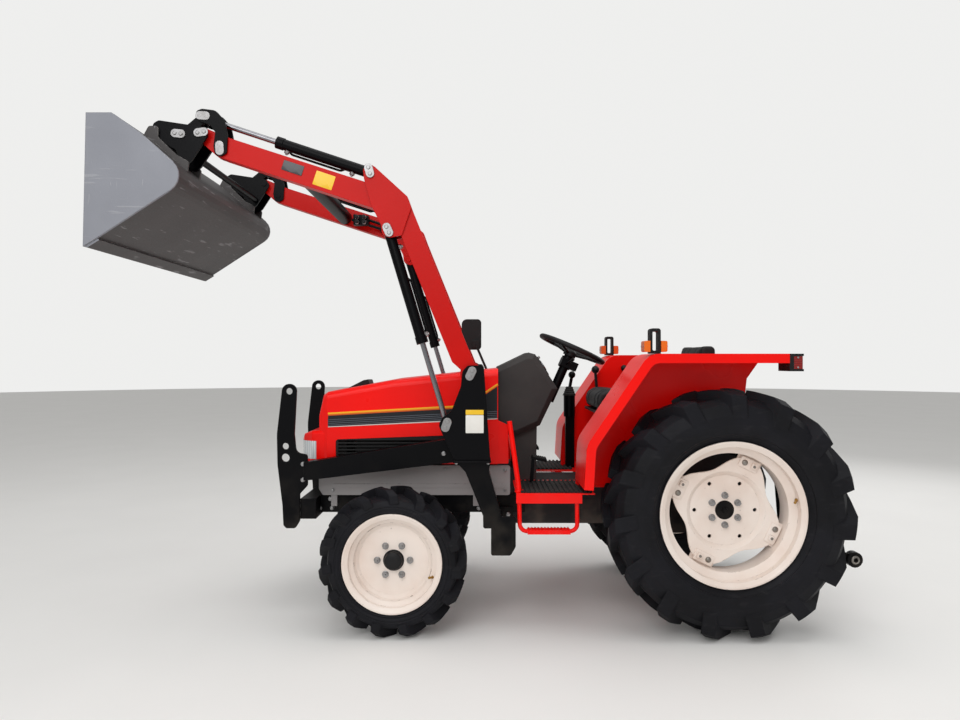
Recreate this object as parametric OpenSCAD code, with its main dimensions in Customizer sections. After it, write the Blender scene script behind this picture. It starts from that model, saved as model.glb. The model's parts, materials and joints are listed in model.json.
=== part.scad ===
// Compact farm tractor with a front loader, built as separate parts.
// The frame is X forward, Y to the driver's left, Z up, in millimetres.
// Z = 0 is the ground, and the loader is drawn raised with its bucket tipped.

/* [Running gear] */
// distance between the two axles
wheel_base = 1520; // [1500:5:1560]
// how far the drawing's origin lies ahead of the rear axle
origin_ahead = 1073; // [1000:1:1150]
// radius of the rear rim's bead seat
rear_rim_r = 309; // [295:1:320]
// rear tyre section height, from the bead to the lug tips
rear_h = 251; // [235:1:265]
// rear tyre section width
rear_w = 276; // [250:1:290]
// rear track, from tyre centre to tyre centre
rear_track = 1016; // [1000:2:1060]
// radius of the front rim's bead seat
front_rim_r = 206; // [196:1:212]
// front tyre section height, from the bead to the lug tips
front_h = 130; // [122:1:136]
// front tyre section width
front_w = 168; // [150:1:176]
// front track, from tyre centre to tyre centre
front_track = 1040; // [1020:2:1060]
// distance from a front tyre's centre in to its steering pivot
king_in = 132; // [126:1:140]
// lugs on each side of a tyre
lug_count = 15; // [12:1:18]
// height of the lugs above the tread
lug_h = 36; // [24:1:40]

/* [Body] */
// half width of the hood
hood_hw = 258; // [240:1:264]
// radius of the hood's top edges
hood_edge = 34; // [20:1:50]
// thickness of the sheet metal
sheet = 4; // [3:0.5:6]
// half width of the dashboard cowl
cowl_hw = 205; // [190:1:225]
// height of the floor plates
floor_z = 640; // [625:1:655]
// room between a rear tyre and the mudguard above it
fender_gap = 158; // [130:1:180]
// the mudguard's outer edge past the tyre's middle
fender_out = 114; // [90:1:130]
// room between a rear tyre and the mudguard's inner wall
wall_gap = 52; // [40:1:60]
// depth of the mudguard's outer flange
flange_h = 42; // [30:1:60]
// steering wheel diameter
wheel_d = 372; // [340:2:390]
// diameter of the step's tube
step_d = 20; // [16:1:24]

/* [Loader] */
// distance of each loader arm from the middle
arm_y = 470; // [466:1:476]
// half width of a loader arm
arm_hw = 33; // [30:0.5:34]
// height of the boom pivot
pivot_z = 1188; // [1180:1:1196]
// outside diameter of the cylinder barrels
barrel_d = 50; // [44:1:54]
// diameter of the cylinder rods
rod_d = 26; // [22:1:30]
// diameter of the loader pins
pin_d = 30; // [26:1:32]
// diameter of the oil pipes along the arms
pipe_d = 16; // [12:1:20]
// width of the bucket
bucket_w = 1354; // [1300:2:1400]
// thickness of the bucket's sheet
bucket_t = 6; // [5:0.5:9]

/* [Hidden] */
$fn = 64;

// colours of the finishes
tractor_red = [0.86, 0.07, 0.02];
loader_red = [0.74, 0.05, 0.02];
black = [0.05, 0.05, 0.06];
dark_grey = [0.2, 0.19, 0.19];
cast_grey = [0.16, 0.16, 0.17];
cream = [0.93, 0.9, 0.87];
rubber = [0.06, 0.06, 0.07];
chrome = [0.75, 0.75, 0.76];

// rear axle and front axle stations
ra = -origin_ahead;
fa = ra + wheel_base;
// shift of what belongs to the front end when the wheelbase changes
ds = wheel_base - 1520;
// tyre radii, wheel centre planes and heights
rear_r = rear_rim_r + rear_h;
front_r = front_rim_r + front_h;
ry = rear_track / 2;
fy = front_track / 2;
rz = rear_r;
fz = front_r;
kingpin_y = fy - king_in;
// mudguards: top, outer edge and inner wall
fender_z = 2 * rear_r + fender_gap;
fender_y = ry + fender_out;
wall_y = ry - rear_w / 2 - wall_gap;
// inner faces of the loader's side beams and of the front guards
beam_y = hood_hw + 32;
guard_y = beam_y + 13;
// half widths of the transmission and of the seat
box_hw = 185;
seat_hw = wall_y - 103;
// small gap between pieces that seat on each other
seat = 0.2;
// running clearance of a pin in its eye
run = 0.3;
// shift of the loader with its pivot height
lz = pivot_z - 1188;
// loader pins in the side plane
PP = [ra + 1167, pivot_z];
TT = [ra + 1279, 954 + lz];
KK = [ra + 1632, 2116 + lz];
LL = [ra + 1547, 1845 + lz];
AA = [ra + 2317, 2220 + lz];
BB = [ra + 2394, 2368 + lz];
CC = [ra + 2395, 2286 + lz];
DD = [ra + 2499, 2280 + lz];
// the bucket's hook tube, its lock pin and the bar between its carriers
hook = [ra + 2606, 2294 + lz];
lock = [ra + 2480, 2156 + lz];
tie = [ra + 2446, 2192 + lz];
pr = pin_d / 2;
// plates of the loader, as distances from an arm's middle
crank_in = arm_hw + 3;
crank_out = crank_in + 10;
ear_in = crank_out + 4;
ear_out = ear_in + 12;
lug_in = ear_out + 4;
lug_out = lug_in + 10;
knee_out = arm_hw + 10;
link_in = 17;
link_out = 29;
eye_hw = 14;
tower_in = arm_hw + 7;
tower_out = tower_in + 10;
pipe_y = arm_y - tower_out - pipe_d / 2 - 7;
// steering wheel centre and lean
sw = [ra + 638, 0, 1308];
sw_tilt = 24;
hub_hw = 34;

// unit vector from a to b
function unit(a, b) = (b - a) / norm(b - a);
// the place and the corner radius of an outline's point
function place(q) = [q[0], q[1]];
function radius(q) = len(q) > 2 ? q[2] : 0;
// the arc at corner p, between its neighbours a and b
function arc(p, a, b, r, n) = let (u = unit(p, a), v = unit(p, b), half = acos(u * v) / 2,
    c = p + (u + v) / norm(u + v) * r / sin(half), s = p + u * r / tan(half) - c,
    e = p + v * r / tan(half) - c,
    w = 180 - 2 * half)
  [for (k = [0:n]) c + (s * sin((n - k) / n * w) + e * sin(k / n * w)) / sin(w)];
// an outline [x, z, r] with each corner rounded by its own radius
function soft(p, n = 6) = let (m = len(p)) [for (i = [0:m - 1]) each radius(p[i]) > 0
  ? arc(place(p[i]), place(p[(i + m - 1) % m]), place(p[(i + 1) % m]), radius(p[i]), n) : [place(p[i])]];
// a line's points moved to its left by d
function beside(p, d) = [for (i = [0:len(p) - 1])
  let (u = i > 0 ? unit(p[i - 1], p[i]) : unit(p[0], p[1]),
    v = i < len(p) - 1 ? unit(p[i], p[i + 1]) : u,
    n = [-u[1] - v[1], u[0] + v[0]] / 2)
  p[i] + n * d / (n * n)];
// a line's points in reverse order
function back(p) = [for (i = [len(p) - 1:-1:0]) p[i]];
// a bent strip of sheet along a line
function strip(p, t) = concat(p, back(beside(p, t)));
// points given from the rear axle
function from_rear(p) = [for (q = p) [ra + q[0], q[1], radius(q)]];
// points given from the rear axle that follow the front axle
function from_front(p) = [for (q = p) [ra + ds + q[0], q[1], radius(q)]];
// points given from the pin at c
function around(c, p) = [for (q = p) [c[0] + q[0], c[1] + q[1], radius(q)]];
// loader points given from the rear axle, following the pivot's height
function on_loader(p) = [for (q = p) [ra + q[0], q[1] + lz, radius(q)]];

// a side outline [x, z, r] pulled from y0 to y1
module side(pts, y0, y1) {
  translate([0, y1, 0]) rotate([90, 0, 0]) linear_extrude(y1 - y0) polygon(soft(pts));
}
// the same plate on both sides of an arm, from d0 to d1 off its middle
module both_sides(pts, d0, d1) {
  side(pts, arm_y + d0, arm_y + d1);
  side(pts, arm_y - d1, arm_y - d0);
}
// a round bar along Y at [x, z]
module bar(p, r, y0, y1) {
  translate([p[0], y1, p[1]]) rotate([90, 0, 0]) cylinder(h = y1 - y0, r = r);
}
// a cross pin of an arm, reaching d off the arm's middle on both sides
module pin(p, r, d) {
  bar(p, r, arm_y - d, arm_y + d);
}
// a pin in two stubs, from d0 to d1 off the arm's middle
module stubs(p, r, d0, d1) {
  bar(p, r, arm_y + d0, arm_y + d1);
  bar(p, r, arm_y - d1, arm_y - d0);
}
// a box between two corners
module block(a, b) {
  translate(a) cube([b[0] - a[0], b[1] - a[1], b[2] - a[2]]);
}
// children on the left, and again mirrored on the right
module pair() {
  children();
  mirror([0, 1, 0]) children();
}
// a rod between two points of a side plane at y
module strut(a, b, r, y) {
  translate([a[0], y, a[1]]) rotate([0, 90 - atan2(b[1] - a[1], b[0] - a[0]), 0])
    cylinder(h = norm(b - a), r = r);
}
// a spun section [r, y] about the Y axis
module spun(pts) {
  rotate([-90, 0, 0]) rotate_extrude($fn = 90) polygon(pts);
}
// a bent pipe along a line of a side plane at y
module pipe(line, d, y) {
  n = 10;
  m = len(line);
  rings = [for (i = [0:m - 1]) let (t = unit(line[max(i - 1, 0)], line[min(i + 1, m - 1)]), v = [-t[1],
    t[0]])
    for (k = [0:n - 1]) let (q = line[i] + v * d / 2 * cos(k * 360 / n)) [q[0],
      y + d / 2 * sin(k * 360 / n), q[1]]];
  walls = [for (i = [0:m - 2]) for (k = [0:n - 1])
    [i * n + k, i * n + (k + 1) % n, (i + 1) * n + (k + 1) % n, (i + 1) * n + k]];
  polyhedron(rings, concat(walls, [[for (k = [n - 1:-1:0]) k]], [[for (k = [0:n - 1]) (m - 1) * n + k]]));
}

module frame_rails() color(black) {
  pair() block([ra + 900, 172, 486], [ra + ds + 2001, 196, 574]);
  // front cross member between the guard plates
  block([ra + ds + 1925, -guard_y, 476], [ra + ds + 2001, guard_y, 574]);
  // axle bracket under the engine
  difference() {
    block([fa - 150, -171.9, 400], [fa + 150, 171.9, 486]);
    block([fa - 62, -180, 390], [fa + 62, 180, 462]);
  }
}

module engine_block() color(cast_grey) {
  block([ra + 960, -171.9, 486.2], [ra + ds + 1800, 171.9, 700]);
  block([ra + 1040, -150, 700], [ra + ds + 1760, 150, 990]);
  // radiator ahead of the engine
  block([ra + ds + 1800, -171.9, 500], [ra + ds + 1870, 171.9, 960]);
}

module gearbox() color(dark_grey) {
  block([ra + 300, -150, 420], [ra + 959.8, 150, 632]);
  // rear transmission with its sloped sump and chamfered top
  side(from_rear([[300, 400, 20], [300, 770, 30], [260, 800, 20], [-160, 800, 20], [-190, 760, 10],
    [-190, 380, 20], [240, 380, 40]]), -box_hw, box_hw);
  // hitch pump housing and the top link's bracket behind it
  block([ra - 150, -120, 799], [ra + 200, 120, 880]);
  difference() {
    pair() side(from_rear([[-188, 600], [-188, 760], [-252, 740, 16], [-262, 690, 20], [-252, 660, 16]]),
      24, 38);
    bar([ra - 232, 700], 9.75, -60, 60);
  }
  // boss of the power take-off shaft
  translate([ra - 189, 0, 560]) rotate([0, -90, 0]) cylinder(h = 13, r = 70);
}

module rear_axle() color(dark_grey) pair() translate([ra, 0, rz]) rotate([-90, 0, 0]) {
  // trumpet housing, half shaft and hub flange
  translate([0, 0, box_hw]) cylinder(h = wall_y - box_hw + 52, r1 = 130, r2 = 92);
  translate([0, 0, wall_y + 51]) cylinder(h = ry - 40 - wall_y - 51, r = 62);
  translate([0, 0, ry - 40]) cylinder(h = 19.7, r = 104);
}

module front_axle() color(cast_grey) {
  bar([fa, fz], 52, -kingpin_y + 84, kingpin_y - 84);
  // centre case and its pivot
  block([fa - 61.7, -95, fz - 66], [fa + 61.7, 95, 461.7]);
  pair() translate([fa, kingpin_y, fz + 62]) cylinder(h = 56, r = 58);
  pair() block([fa - 45, kingpin_y - 96, fz - 40], [fa + 45, kingpin_y - 62, fz + 118]);
  pair() block([fa - 45, kingpin_y - 70, fz + 66], [fa + 45, kingpin_y, fz + 114]);
}

// a thin slice across the hood, rounded at its top corners
module hood_slice(x, hw, low, top, r) {
  translate([x, 0, 0]) rotate([90, 0, 90]) linear_extrude(1)
    polygon(soft([[-hw, low], [hw, low], [hw, top, r], [-hw, top, r]]));
}
// the hood's body inside its skin by t, open below and behind where t is over 0
module hood_body(t) {
  low = t > 0 ? 600 : 736;
  r = hood_edge - t;
  hull() {
    hood_slice(ra + (t > 0 ? 1016 : 1036), hood_hw - t, low, (t > 0 ? 1209 : 1207) - t, r);
    hood_slice(ra + ds + 1560, hood_hw - t, low, 1150 - t, r);
    hood_slice(ra + ds + 1880, hood_hw - t, low, 1092 - t, r);
    hood_slice(ra + ds + 1903, hood_hw - t - 18, low, 1078 - t, r);
    hood_slice(ra + ds + 1925 - t, hood_hw - t - 32, low, 985 - t, r - 12);
  }
  // lower nose that carries the lamps
  hull() {
    hood_slice(ra + ds + 1840, hood_hw - t - 2, low, 905 - t, 20);
    hood_slice(ra + ds + 1960, hood_hw - t - 22, low, 898 - t, 20);
    hood_slice(ra + ds + 2006 - t, hood_hw - t - 60, low + 8, 880 - t, 14);
    hood_slice(ra + ds + 2023 - t, hood_hw - t - 104, low + 16, 852 - t, 8);
  }
}
// the window in the hood's flank
vent_side = concat(from_front([[1838, 766, 14], [1838, 858, 14]]), from_rear([[1300, 877, 20],
  [1256, 864, 20],
  [1232, 766, 14]]));
// half widths of the nose's mouth and band, and the lamps' ends
mouth_hw = hood_hw - 154;
band_hw = hood_hw - 62;
lamp_in = mouth_hw + 8;
lamp_out = hood_hw - 8;

module hood() color(tractor_red) {
  difference() {
    hood_body(0);
    hood_body(sheet);
    side(vent_side, -400, 400);
    // mouth of the front grille and the band above it
    block([ra + ds + 1930, -mouth_hw, 764], [ra + ds + 2050, mouth_hw, 850]);
    block([ra + ds + 1890, -band_hw, 926], [ra + ds + 2050, band_hw, 972]);
    // seats of the headlamps
    pair() block([ra + ds + 1938, lamp_in, 758], [ra + ds + 2050, lamp_out, 848]);
  }
  // flank behind the loader's tower
  pair() side(from_rear([[984, 738, 8], [1060, 738], [1060, 952], [1036, 952], [988, 930, 10]]),
    hood_hw - sheet + 0.5, hood_hw - 0.5);
}

module front_grille() color(black) {
  difference() {
    intersection() {
      hood_body(1);
      block([ra + ds + 1930.3, -mouth_hw + seat, 764.3], [ra + ds + 2050, mouth_hw - seat, 849.7]);
    }
    block([ra + ds + 1900, -mouth_hw + 10, 700], [ra + ds + 1998, mouth_hw - 10, 900]);
    for (i = [0:3]) block([ra + ds + 1900, -mouth_hw + 12, 774 + i * 18],
      [ra + ds + 2050, mouth_hw - 12, 784 + i * 18]);
  }
  // slotted band across the nose
  difference() {
    block([ra + ds + 1900, -band_hw + seat, 926.3], [ra + ds + 1923, band_hw - seat, 971.7]);
    for (i = [-9:9]) block([ra + ds + 1910, i * 20 - 6, 934], [ra + ds + 1950, i * 20 + 6, 964]);
  }
  // air scoop on the hood's top
  side(from_front([[1812, 1104.6], [1700, 1125.1], [1706, 1146, 6], [1730, 1146, 10]]), -70, 70);
}

module headlamps() color([0.85, 0.88, 0.9]) pair() intersection() {
  block([ra + ds + 1938.3, lamp_in + seat, 758.3], [ra + ds + 2050, lamp_out - seat, 847.7]);
  hood_body(0);
}

module side_grilles() color(black) pair() difference() {
  side(concat(from_front([[1846, 756], [1846, 868]]), from_rear([[1298, 886], [1248, 870], [1222, 756]])),
    hood_hw - sheet - 4 - seat, hood_hw - sheet - seat);
  // rows of slots
  for (i = [0:4])
    block([ra + 1262 + i * 4, hood_hw - 50, 776 + i * 17], [ra + ds + 1826, hood_hw + 40, 785 + i * 17]);
}

module side_panels() color([0.47, 0.46, 0.46]) pair() {
  side(concat(from_rear([[975, 576, 12]]), from_front([[1910, 576, 12], [1930, 606, 20], [1930, 724, 12]]),
    from_rear([[975, 724, 12]])), 214, 220);
  // pressed rib along the panel
  side(concat(from_rear([[1000, 612, 8]]), from_front([[1860, 612, 8], [1860, 632, 8]]),
    from_rear([[1000, 632, 8]])), 219, 223);
  // stays that hold the panel to the rail
  block([ra + 1130, 196 + seat, 520], [ra + 1160, 214, 640]);
  block([ra + ds + 1840, 196 + seat, 520], [ra + ds + 1870, 214, 640]);
}

// top and bottom lines of the trim on the hood's flank
trim_top = concat(from_front([[1876, 990]]), from_rear([[1262, 1024], [1180, 1040], [1040, 1134]]));
trim_low = concat(from_front([[1876, 918]]), from_rear([[1297, 945], [1040, 958]]));
module hood_stripes() pair() {
  color(black) side(concat(trim_top, back(trim_low)), hood_hw + seat, hood_hw + 1.4);
  // ribs of the dark band, parallel to its lower edge
  color(black) for (i = [0:3]) side(concat(beside(soft(trim_low), -10 - i * 9),
    back(beside(soft(trim_low), -14 - i * 9))), hood_hw + 1.2, hood_hw + 2.6);
  // yellow stripe along the top
  color([0.9, 0.6, 0.06]) side(strip(soft(trim_top), 12), hood_hw + 1.2, hood_hw + 2.2);
}

cowl_line = from_rear([[1035.7, 1213], [880, 1288], [847, 1279], [734, 1106], [823, 921], [942, 868],
  [1035.7, 880]]);
cowl_inset = from_rear([[1035.7, 1188], [884, 1258], [864, 1252], [766, 1104], [840, 944], [946, 896],
  [1035.7, 906]]);
module dash_cowl() color(dark_grey) {
  hull() {
    side(cowl_line, -cowl_hw + 26, cowl_hw - 26);
    side(cowl_inset, -cowl_hw, cowl_hw);
  }
  // console below the cowl, down to the gearbox
  side(from_rear([[840, 632.2], [958, 632.2], [958, 900], [836, 930]]), -150, 150);
}

module steering_column() color(black) difference() {
  translate(sw) rotate([0, -sw_tilt, 0]) {
    translate([0, 0, -300]) cylinder(h = 259, r = 24);
    translate([0, 0, -110]) cylinder(h = 60, r = 32);
    // switch box under the wheel
    translate([-60, -46, -104]) cube([90, 92, 44]);
  }
  side([for (q = cowl_line) place(q) - [seat, 0]], -cowl_hw, cowl_hw);
}

// ends of the outer part of a floor plate
plate_x0 = ra + rear_r + 40;
plate_x1 = ra + 960;
plate_y = 520;
module footplates() color(tractor_red) pair() {
  block([ra + 380, 150.2, floor_z - 6], [plate_x1, wall_y + 6, floor_z]);
  block([plate_x0, wall_y + 6, floor_z - 6], [plate_x1, plate_y, floor_z]);
  // folded edge
  block([plate_x0 + 58, plate_y - 6, floor_z - 46], [plate_x1, plate_y, floor_z - 6]);
  // stays under the plate
  for (x = [plate_x0 + 74, ra + 860]) {
    block([x, 150.2, 560], [x + 40, 166, floor_z - 6]);
    block([x, 166, 600], [x + 40, 470, floor_z - 6]);
  }
}

// the bent tube of a step: two leaning legs, two bends and the tread's bar
step_line = soft(concat([[plate_x0 + 80, floor_z - 7]], from_rear([[678, 463, 34], [942, 463, 34]]),
  [[plate_x1 - 14, floor_z - 7]]));
module steps() color(tractor_red) pair() {
  pipe(step_line, step_d, 500);
  block([ra + 712, 474, 454], [ra + 908, 526, 472]);
  // grab bar at the footplate's front corner, on its foot
  pipe(soft([[plate_x1 - 15, floor_z + 6], [ra + 952, floor_z + 60, 40], [ra + 990, 967]]), 24, 480);
  translate([plate_x1 - 15, 480, floor_z + seat]) cylinder(h = 10, r = 20);
}

// the mudguard's line: front edge, slope, top and rear end
fender_line = soft([[ra + rear_r + 104, floor_z + 34], [ra + rear_r + 92, rz + 312, 110],
  [ra + rear_r - 184, fender_z, 90], [ra - 246, fender_z]]);
module fender() {
  side(strip(fender_line, sheet), wall_y, fender_y);
  // inner wall beside the driver
  side(concat(beside(fender_line, sheet), from_rear([[-226, fender_z - 36], [-168, fender_z - 118],
    [-146, rz + 404], [-120, 801], [300, 801], [380, floor_z + seat]]),
    [[ra + rear_r + 104, floor_z + seat]]), wall_y, wall_y + sheet);
  // flat rear end of the top, beside the lamp
  block([ra - 336, wall_y, fender_z - sheet], [ra - 244, fender_y - 124, fender_z]);
  // outer flange
  side(strip(fender_line, flange_h), fender_y - sheet, fender_y);
}
module fender_left() color(tractor_red) fender();
module fender_right() color(tractor_red) mirror([0, 1, 0]) fender();

// tail lamp housings and the frames of the turn signals
module signal_frames() color(black) pair() {
  difference() {
    block([ra - 308, fender_y - 123, fender_z - 78], [ra - 246.2, fender_y, fender_z]);
    block([ra - 320, fender_y - 113, fender_z - 68], [ra - 264, fender_y + 20, fender_z - 10]);
  }
  difference() {
    side(from_rear([[316, fender_z + seat], [364, fender_z + seat], [364, fender_z + 114, 12],
      [316, fender_z + 114, 12]]), fender_y - 84, fender_y - 36);
    side(from_rear([[327, fender_z + 14, 6], [353, fender_z + 14, 6], [353, fender_z + 100, 6],
      [327, fender_z + 100, 6]]), fender_y - 100, fender_y - 20);
  }
}
module tail_lamps() color([0.6, 0.05, 0.03]) pair()
  block([ra - 304, fender_y - 113 + seat, fender_z - 68 + seat],
    [ra - 264.2, fender_y - 2, fender_z - 10.2]);
module turn_signals() color([0.9, 0.4, 0.03]) pair() {
  side(from_rear([[364.2, fender_z + 8], [392, fender_z + 8, 8], [392, fender_z + 58, 8],
    [364.2, fender_z + 58]]),
    fender_y - 92, fender_y - 28);
  side(from_rear([[315.8, fender_z + 8], [288, fender_z + 8, 8], [288, fender_z + 58, 8],
    [315.8, fender_z + 58]]),
    fender_y - 92, fender_y - 28);
}

module seat_base() color(black) {
  block([ra + 60, -seat_hw + 95, 880.2], [ra + 420, seat_hw - 95, 980]);
  block([ra + 20, -seat_hw + 5, 980], [ra + 540, seat_hw - 5, 994]);
}
module seat_cushion() color(black)
  side(from_rear([[60, 994.2], [530, 994.2, 20], [566, 1040, 30], [556, 1096, 20], [500, 1106, 40],
    [60, 1080]]),
    -seat_hw, seat_hw);
module seat_back() color(black)
  side(from_rear([[56, 994.2], [56, 1090], [10, 1342, 30], [-66, 1342, 30], [-80, 1314, 20], [-30, 1040],
    [-8, 994.2]]), -seat_hw + 15, seat_hw - 15);

// one loader tower, its outer and inner plates, post and foot
tower_line = on_loader([[1182, 1225, 18], [1108, 1225, 12], [1078, 788], [1239, 788, 8], [1298, 912],
  [1316, 954, 30],
  [1296, 988, 20], [1257, 1015, 30], [1213, 1129, 40], [1206, 1199, 30]]);
module tower() {
  difference() {
    both_sides(tower_line, tower_in, tower_out);
    bar(PP, pr + run, 0, 700);
  }
  // back web between the plates
  side(on_loader([[1078, 788], [1088, 788], [1100, 960], [1090, 960]]), arm_y - tower_in, arm_y + tower_in);
  // base block and post down to the frame
  side(concat(on_loader([[1078, 788], [1239, 788]]), from_rear([[1192, 738, 20], [1111, 536], [1027, 536],
    [1085, 740]])), arm_y - tower_out, arm_y + tower_out);
  side(from_rear([[1111, 536], [1027, 536], [1027, 480, 10], [1111, 480, 10]]), 196.2, arm_y + tower_out);
  side(from_rear([[1065, 480], [1065, 430, 10], [985, 430, 14], [960, 460], [960, 514, 10], [1027, 514],
    [1027, 480]]), 196.2, 212);
  // plate that hangs from the foot's outer end
  side(from_rear([[1075, 500], [1075, 356, 10], [985, 356, 14], [962, 396, 20], [962, 533, 10], [1040, 533],
    [1040, 500]]), arm_y + tower_out - 16, arm_y + tower_out);
  // bracket in to the side beam
  side(on_loader([[1120, 770], [1239, 770], [1239, 866], [1120, 866]]), beam_y + 60 + seat,
    arm_y - tower_out);
  // stubs of the lift rod's pin, which end beside its eye
  stubs(TT, pr, eye_hw + 6, tower_in);
}
module loader_towers() color(black) pair() tower();

module side_beams() color(black) pair()
  side(concat(from_front([[1963, 670], [1963, 758, 10]]), on_loader([[1302, 866, 30], [1120, 866],
    [1120, 772],
    [1247, 758, 20]])), beam_y, beam_y + 60);

module guard() difference() {
  union() {
    side(from_front([[2016, 1098], [2088, 1098], [2112, 890, 300], [2109, 742, 200], [2085, 547, 60],
      [2080, 447, 14],
      [2066, 433, 10], [2022, 433, 14], [2001, 468, 20], [2001, 599, 16], [1963, 640, 20], [1963, 790, 14],
      [2018, 800, 30], [2027, 890, 60]]), guard_y + seat, guard_y + 14);
    bar([ra + ds + 2052, 1098], 36, guard_y + seat, guard_y + 14);
    // flange bolted to the side beam's end
    block([ra + ds + 1963.2, beam_y, 672], [ra + ds + 1975, beam_y + 60, 756]);
  }
  bar([ra + ds + 2052, 1098], 16, beam_y, beam_y + 40);
  bar([ra + ds + 2070, 831], 16, beam_y, beam_y + 40);
  bar([ra + ds + 2070, 775], 20, beam_y, beam_y + 40);
}
module front_guards() color(black) pair() guard();

module drawbar() color(black) difference() {
  union() {
    block([ra - 420, -40, 360], [ra + 120, 40, 379.8]);
    translate([ra - 420, 0, 360]) cylinder(h = 19.8, r = 40);
  }
  translate([ra - 420, 0, 300]) cylinder(h = 120, r = 13);
}

// middles of a lower link and its lifting arm, and the places of the ball and the lifting rod
link_y = ry - rear_w / 2 - 25;
lift_y = (box_hw + link_y) / 2;
ball = [ra - 672, rz - 268];
lift_eye = [ra - 330, rz - 200];
module lower_links() color(black) pair() difference() {
  union() {
    side([[ra + 60, rz - 160, 20], [ra + 60, rz - 108, 20], [ra - 20, rz - 114, 60], [ra - 660, rz - 242],
      [ra - 660, rz - 290], [ra - 20, rz - 164, 60]], link_y - 9, link_y + 9);
    bar(ball, 37, link_y - 18, link_y + 18);
    // pivot bracket on the transmission
    block([ra - 20, box_hw + seat, rz - 158], [ra + 36, link_y - 4, rz - 132]);
    // lifting arm on its cross shaft, and the rod from its eye down to the link's
    bar([ra - 64, 832], 24, 120 + seat, lift_y - 4);
    side([[ra - 34, 800, 20], [ra - 34, 864, 24], [ra - 90, 864, 24], [ra - 352, 772, 18],
      [ra - 352, 740, 18], [ra - 300, 744, 40]], lift_y - 9, lift_y + 9);
    translate([ra - 330, lift_y, 757]) rotate([atan2(link_y - lift_y, 757 - lift_eye[1]), 0, 0])
      mirror([0, 0, 1]) cylinder(h = norm([link_y - lift_y, 757 - lift_eye[1]]), r = 13);
    bar([ra - 330, 757], 23, lift_y - 16, lift_y + 16);
    bar(lift_eye, 21, link_y - 16, link_y + 16);
  }
  bar(ball, 11.2, 200, 500);
}

module pto_shaft() color([0.6, 0.6, 0.6])
  translate([ra - 202.2, 0, 560]) rotate([0, -90, 0]) cylinder(h = 84, r = 17.4);

module rear_mirror() color(black) {
  // stalk on the hood's right flank, and the mirror's housing turned flat
  strut([ra + 1060, 1130], [ra + 1150, 1340], 7, -hood_hw - 7.2);
  side(from_rear([[1118, 1308, 22], [1230, 1308, 30], [1230, 1482, 30], [1118, 1482, 22]]),
    -hood_hw - 34, -hood_hw - 14);
  block([ra + 1130, -hood_hw - 14.5, 1320], [ra + 1170, -hood_hw - 2, 1360]);
}

module levers() color(black) {
  // range lever on the right mudguard's wall
  block([ra + 415, -wall_y + 0.3, 850], [ra + 470, -wall_y + 48, 900]);
  strut([ra + 442, 890], [ra + 467, 1180], 8, -wall_y + 28);
  translate([ra + 467, -wall_y + 28, 1195]) sphere(22);
  // hitch lever beside the seat
  block([ra + 215, -wall_y + 0.3, 960], [ra + 300, -wall_y + 40, 1000]);
  strut([ra + 260, 990], [ra + 300, 1190], 7, -wall_y + 22);
  translate([ra + 302, -wall_y + 22, 1204]) sphere(18);
}

module pedals() color(black) for (y = [-230, -310, 240]) {
  side(from_rear([[862, floor_z + seat], [880, floor_z + seat], [868, floor_z + 134], [796, floor_z + 120],
    [798, floor_z + 108], [856, floor_z + 118]]), y - 8, y + 8);
  side(from_rear([[868, floor_z + 134], [796, floor_z + 120], [798, floor_z + 108], [870, floor_z + 122]]),
    y - 34, y + 34);
}

// middle of the loader's valve beside the driver
valve_y = -wall_y + 38;
module loader_valve() color(black) {
  block([ra + 590, valve_y - 16, floor_z + seat], [ra + 640, valve_y + 16, 930]);
  translate([ra + 617, valve_y, 929]) cylinder(h = 121, r = 32);
  translate([ra + 617, valve_y, 1050]) cylinder(h = 46, r1 = 32, r2 = 14);
  strut([ra + 617, 1080], [ra + 604, 1150], 9, valve_y);
  translate([ra + 602, valve_y, 1166]) sphere(20);
}

module knuckle() {
  // final drive case, swivel and hub
  translate([fa, kingpin_y, fz - 70]) cylinder(h = 131.7, r = 56);
  translate([fa, kingpin_y, fz]) rotate([-90, 0, 0]) cylinder(h = king_in - 30, r = 58);
  translate([fa, fy - 30, fz]) rotate([-90, 0, 0]) cylinder(h = 20, r = 92);
}
module knuckle_left() color(cast_grey) knuckle();
module knuckle_right() color(cast_grey) mirror([0, 1, 0]) knuckle();

// one lug: a bent bar from the tread's middle to its shoulder, deep enough to run down the sidewall
module lug(r, w, h) {
  translate([0, 0, r - h]) linear_extrude(h)
    polygon([[w * 0.34, w * 0.02], [w * 0.18, w * 0.02], [-w * 0.07, w * 0.25], [-w * 0.35, w * 0.52],
      [-w * 0.11, w * 0.52], [w * 0.1, w * 0.27]]);
}
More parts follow.
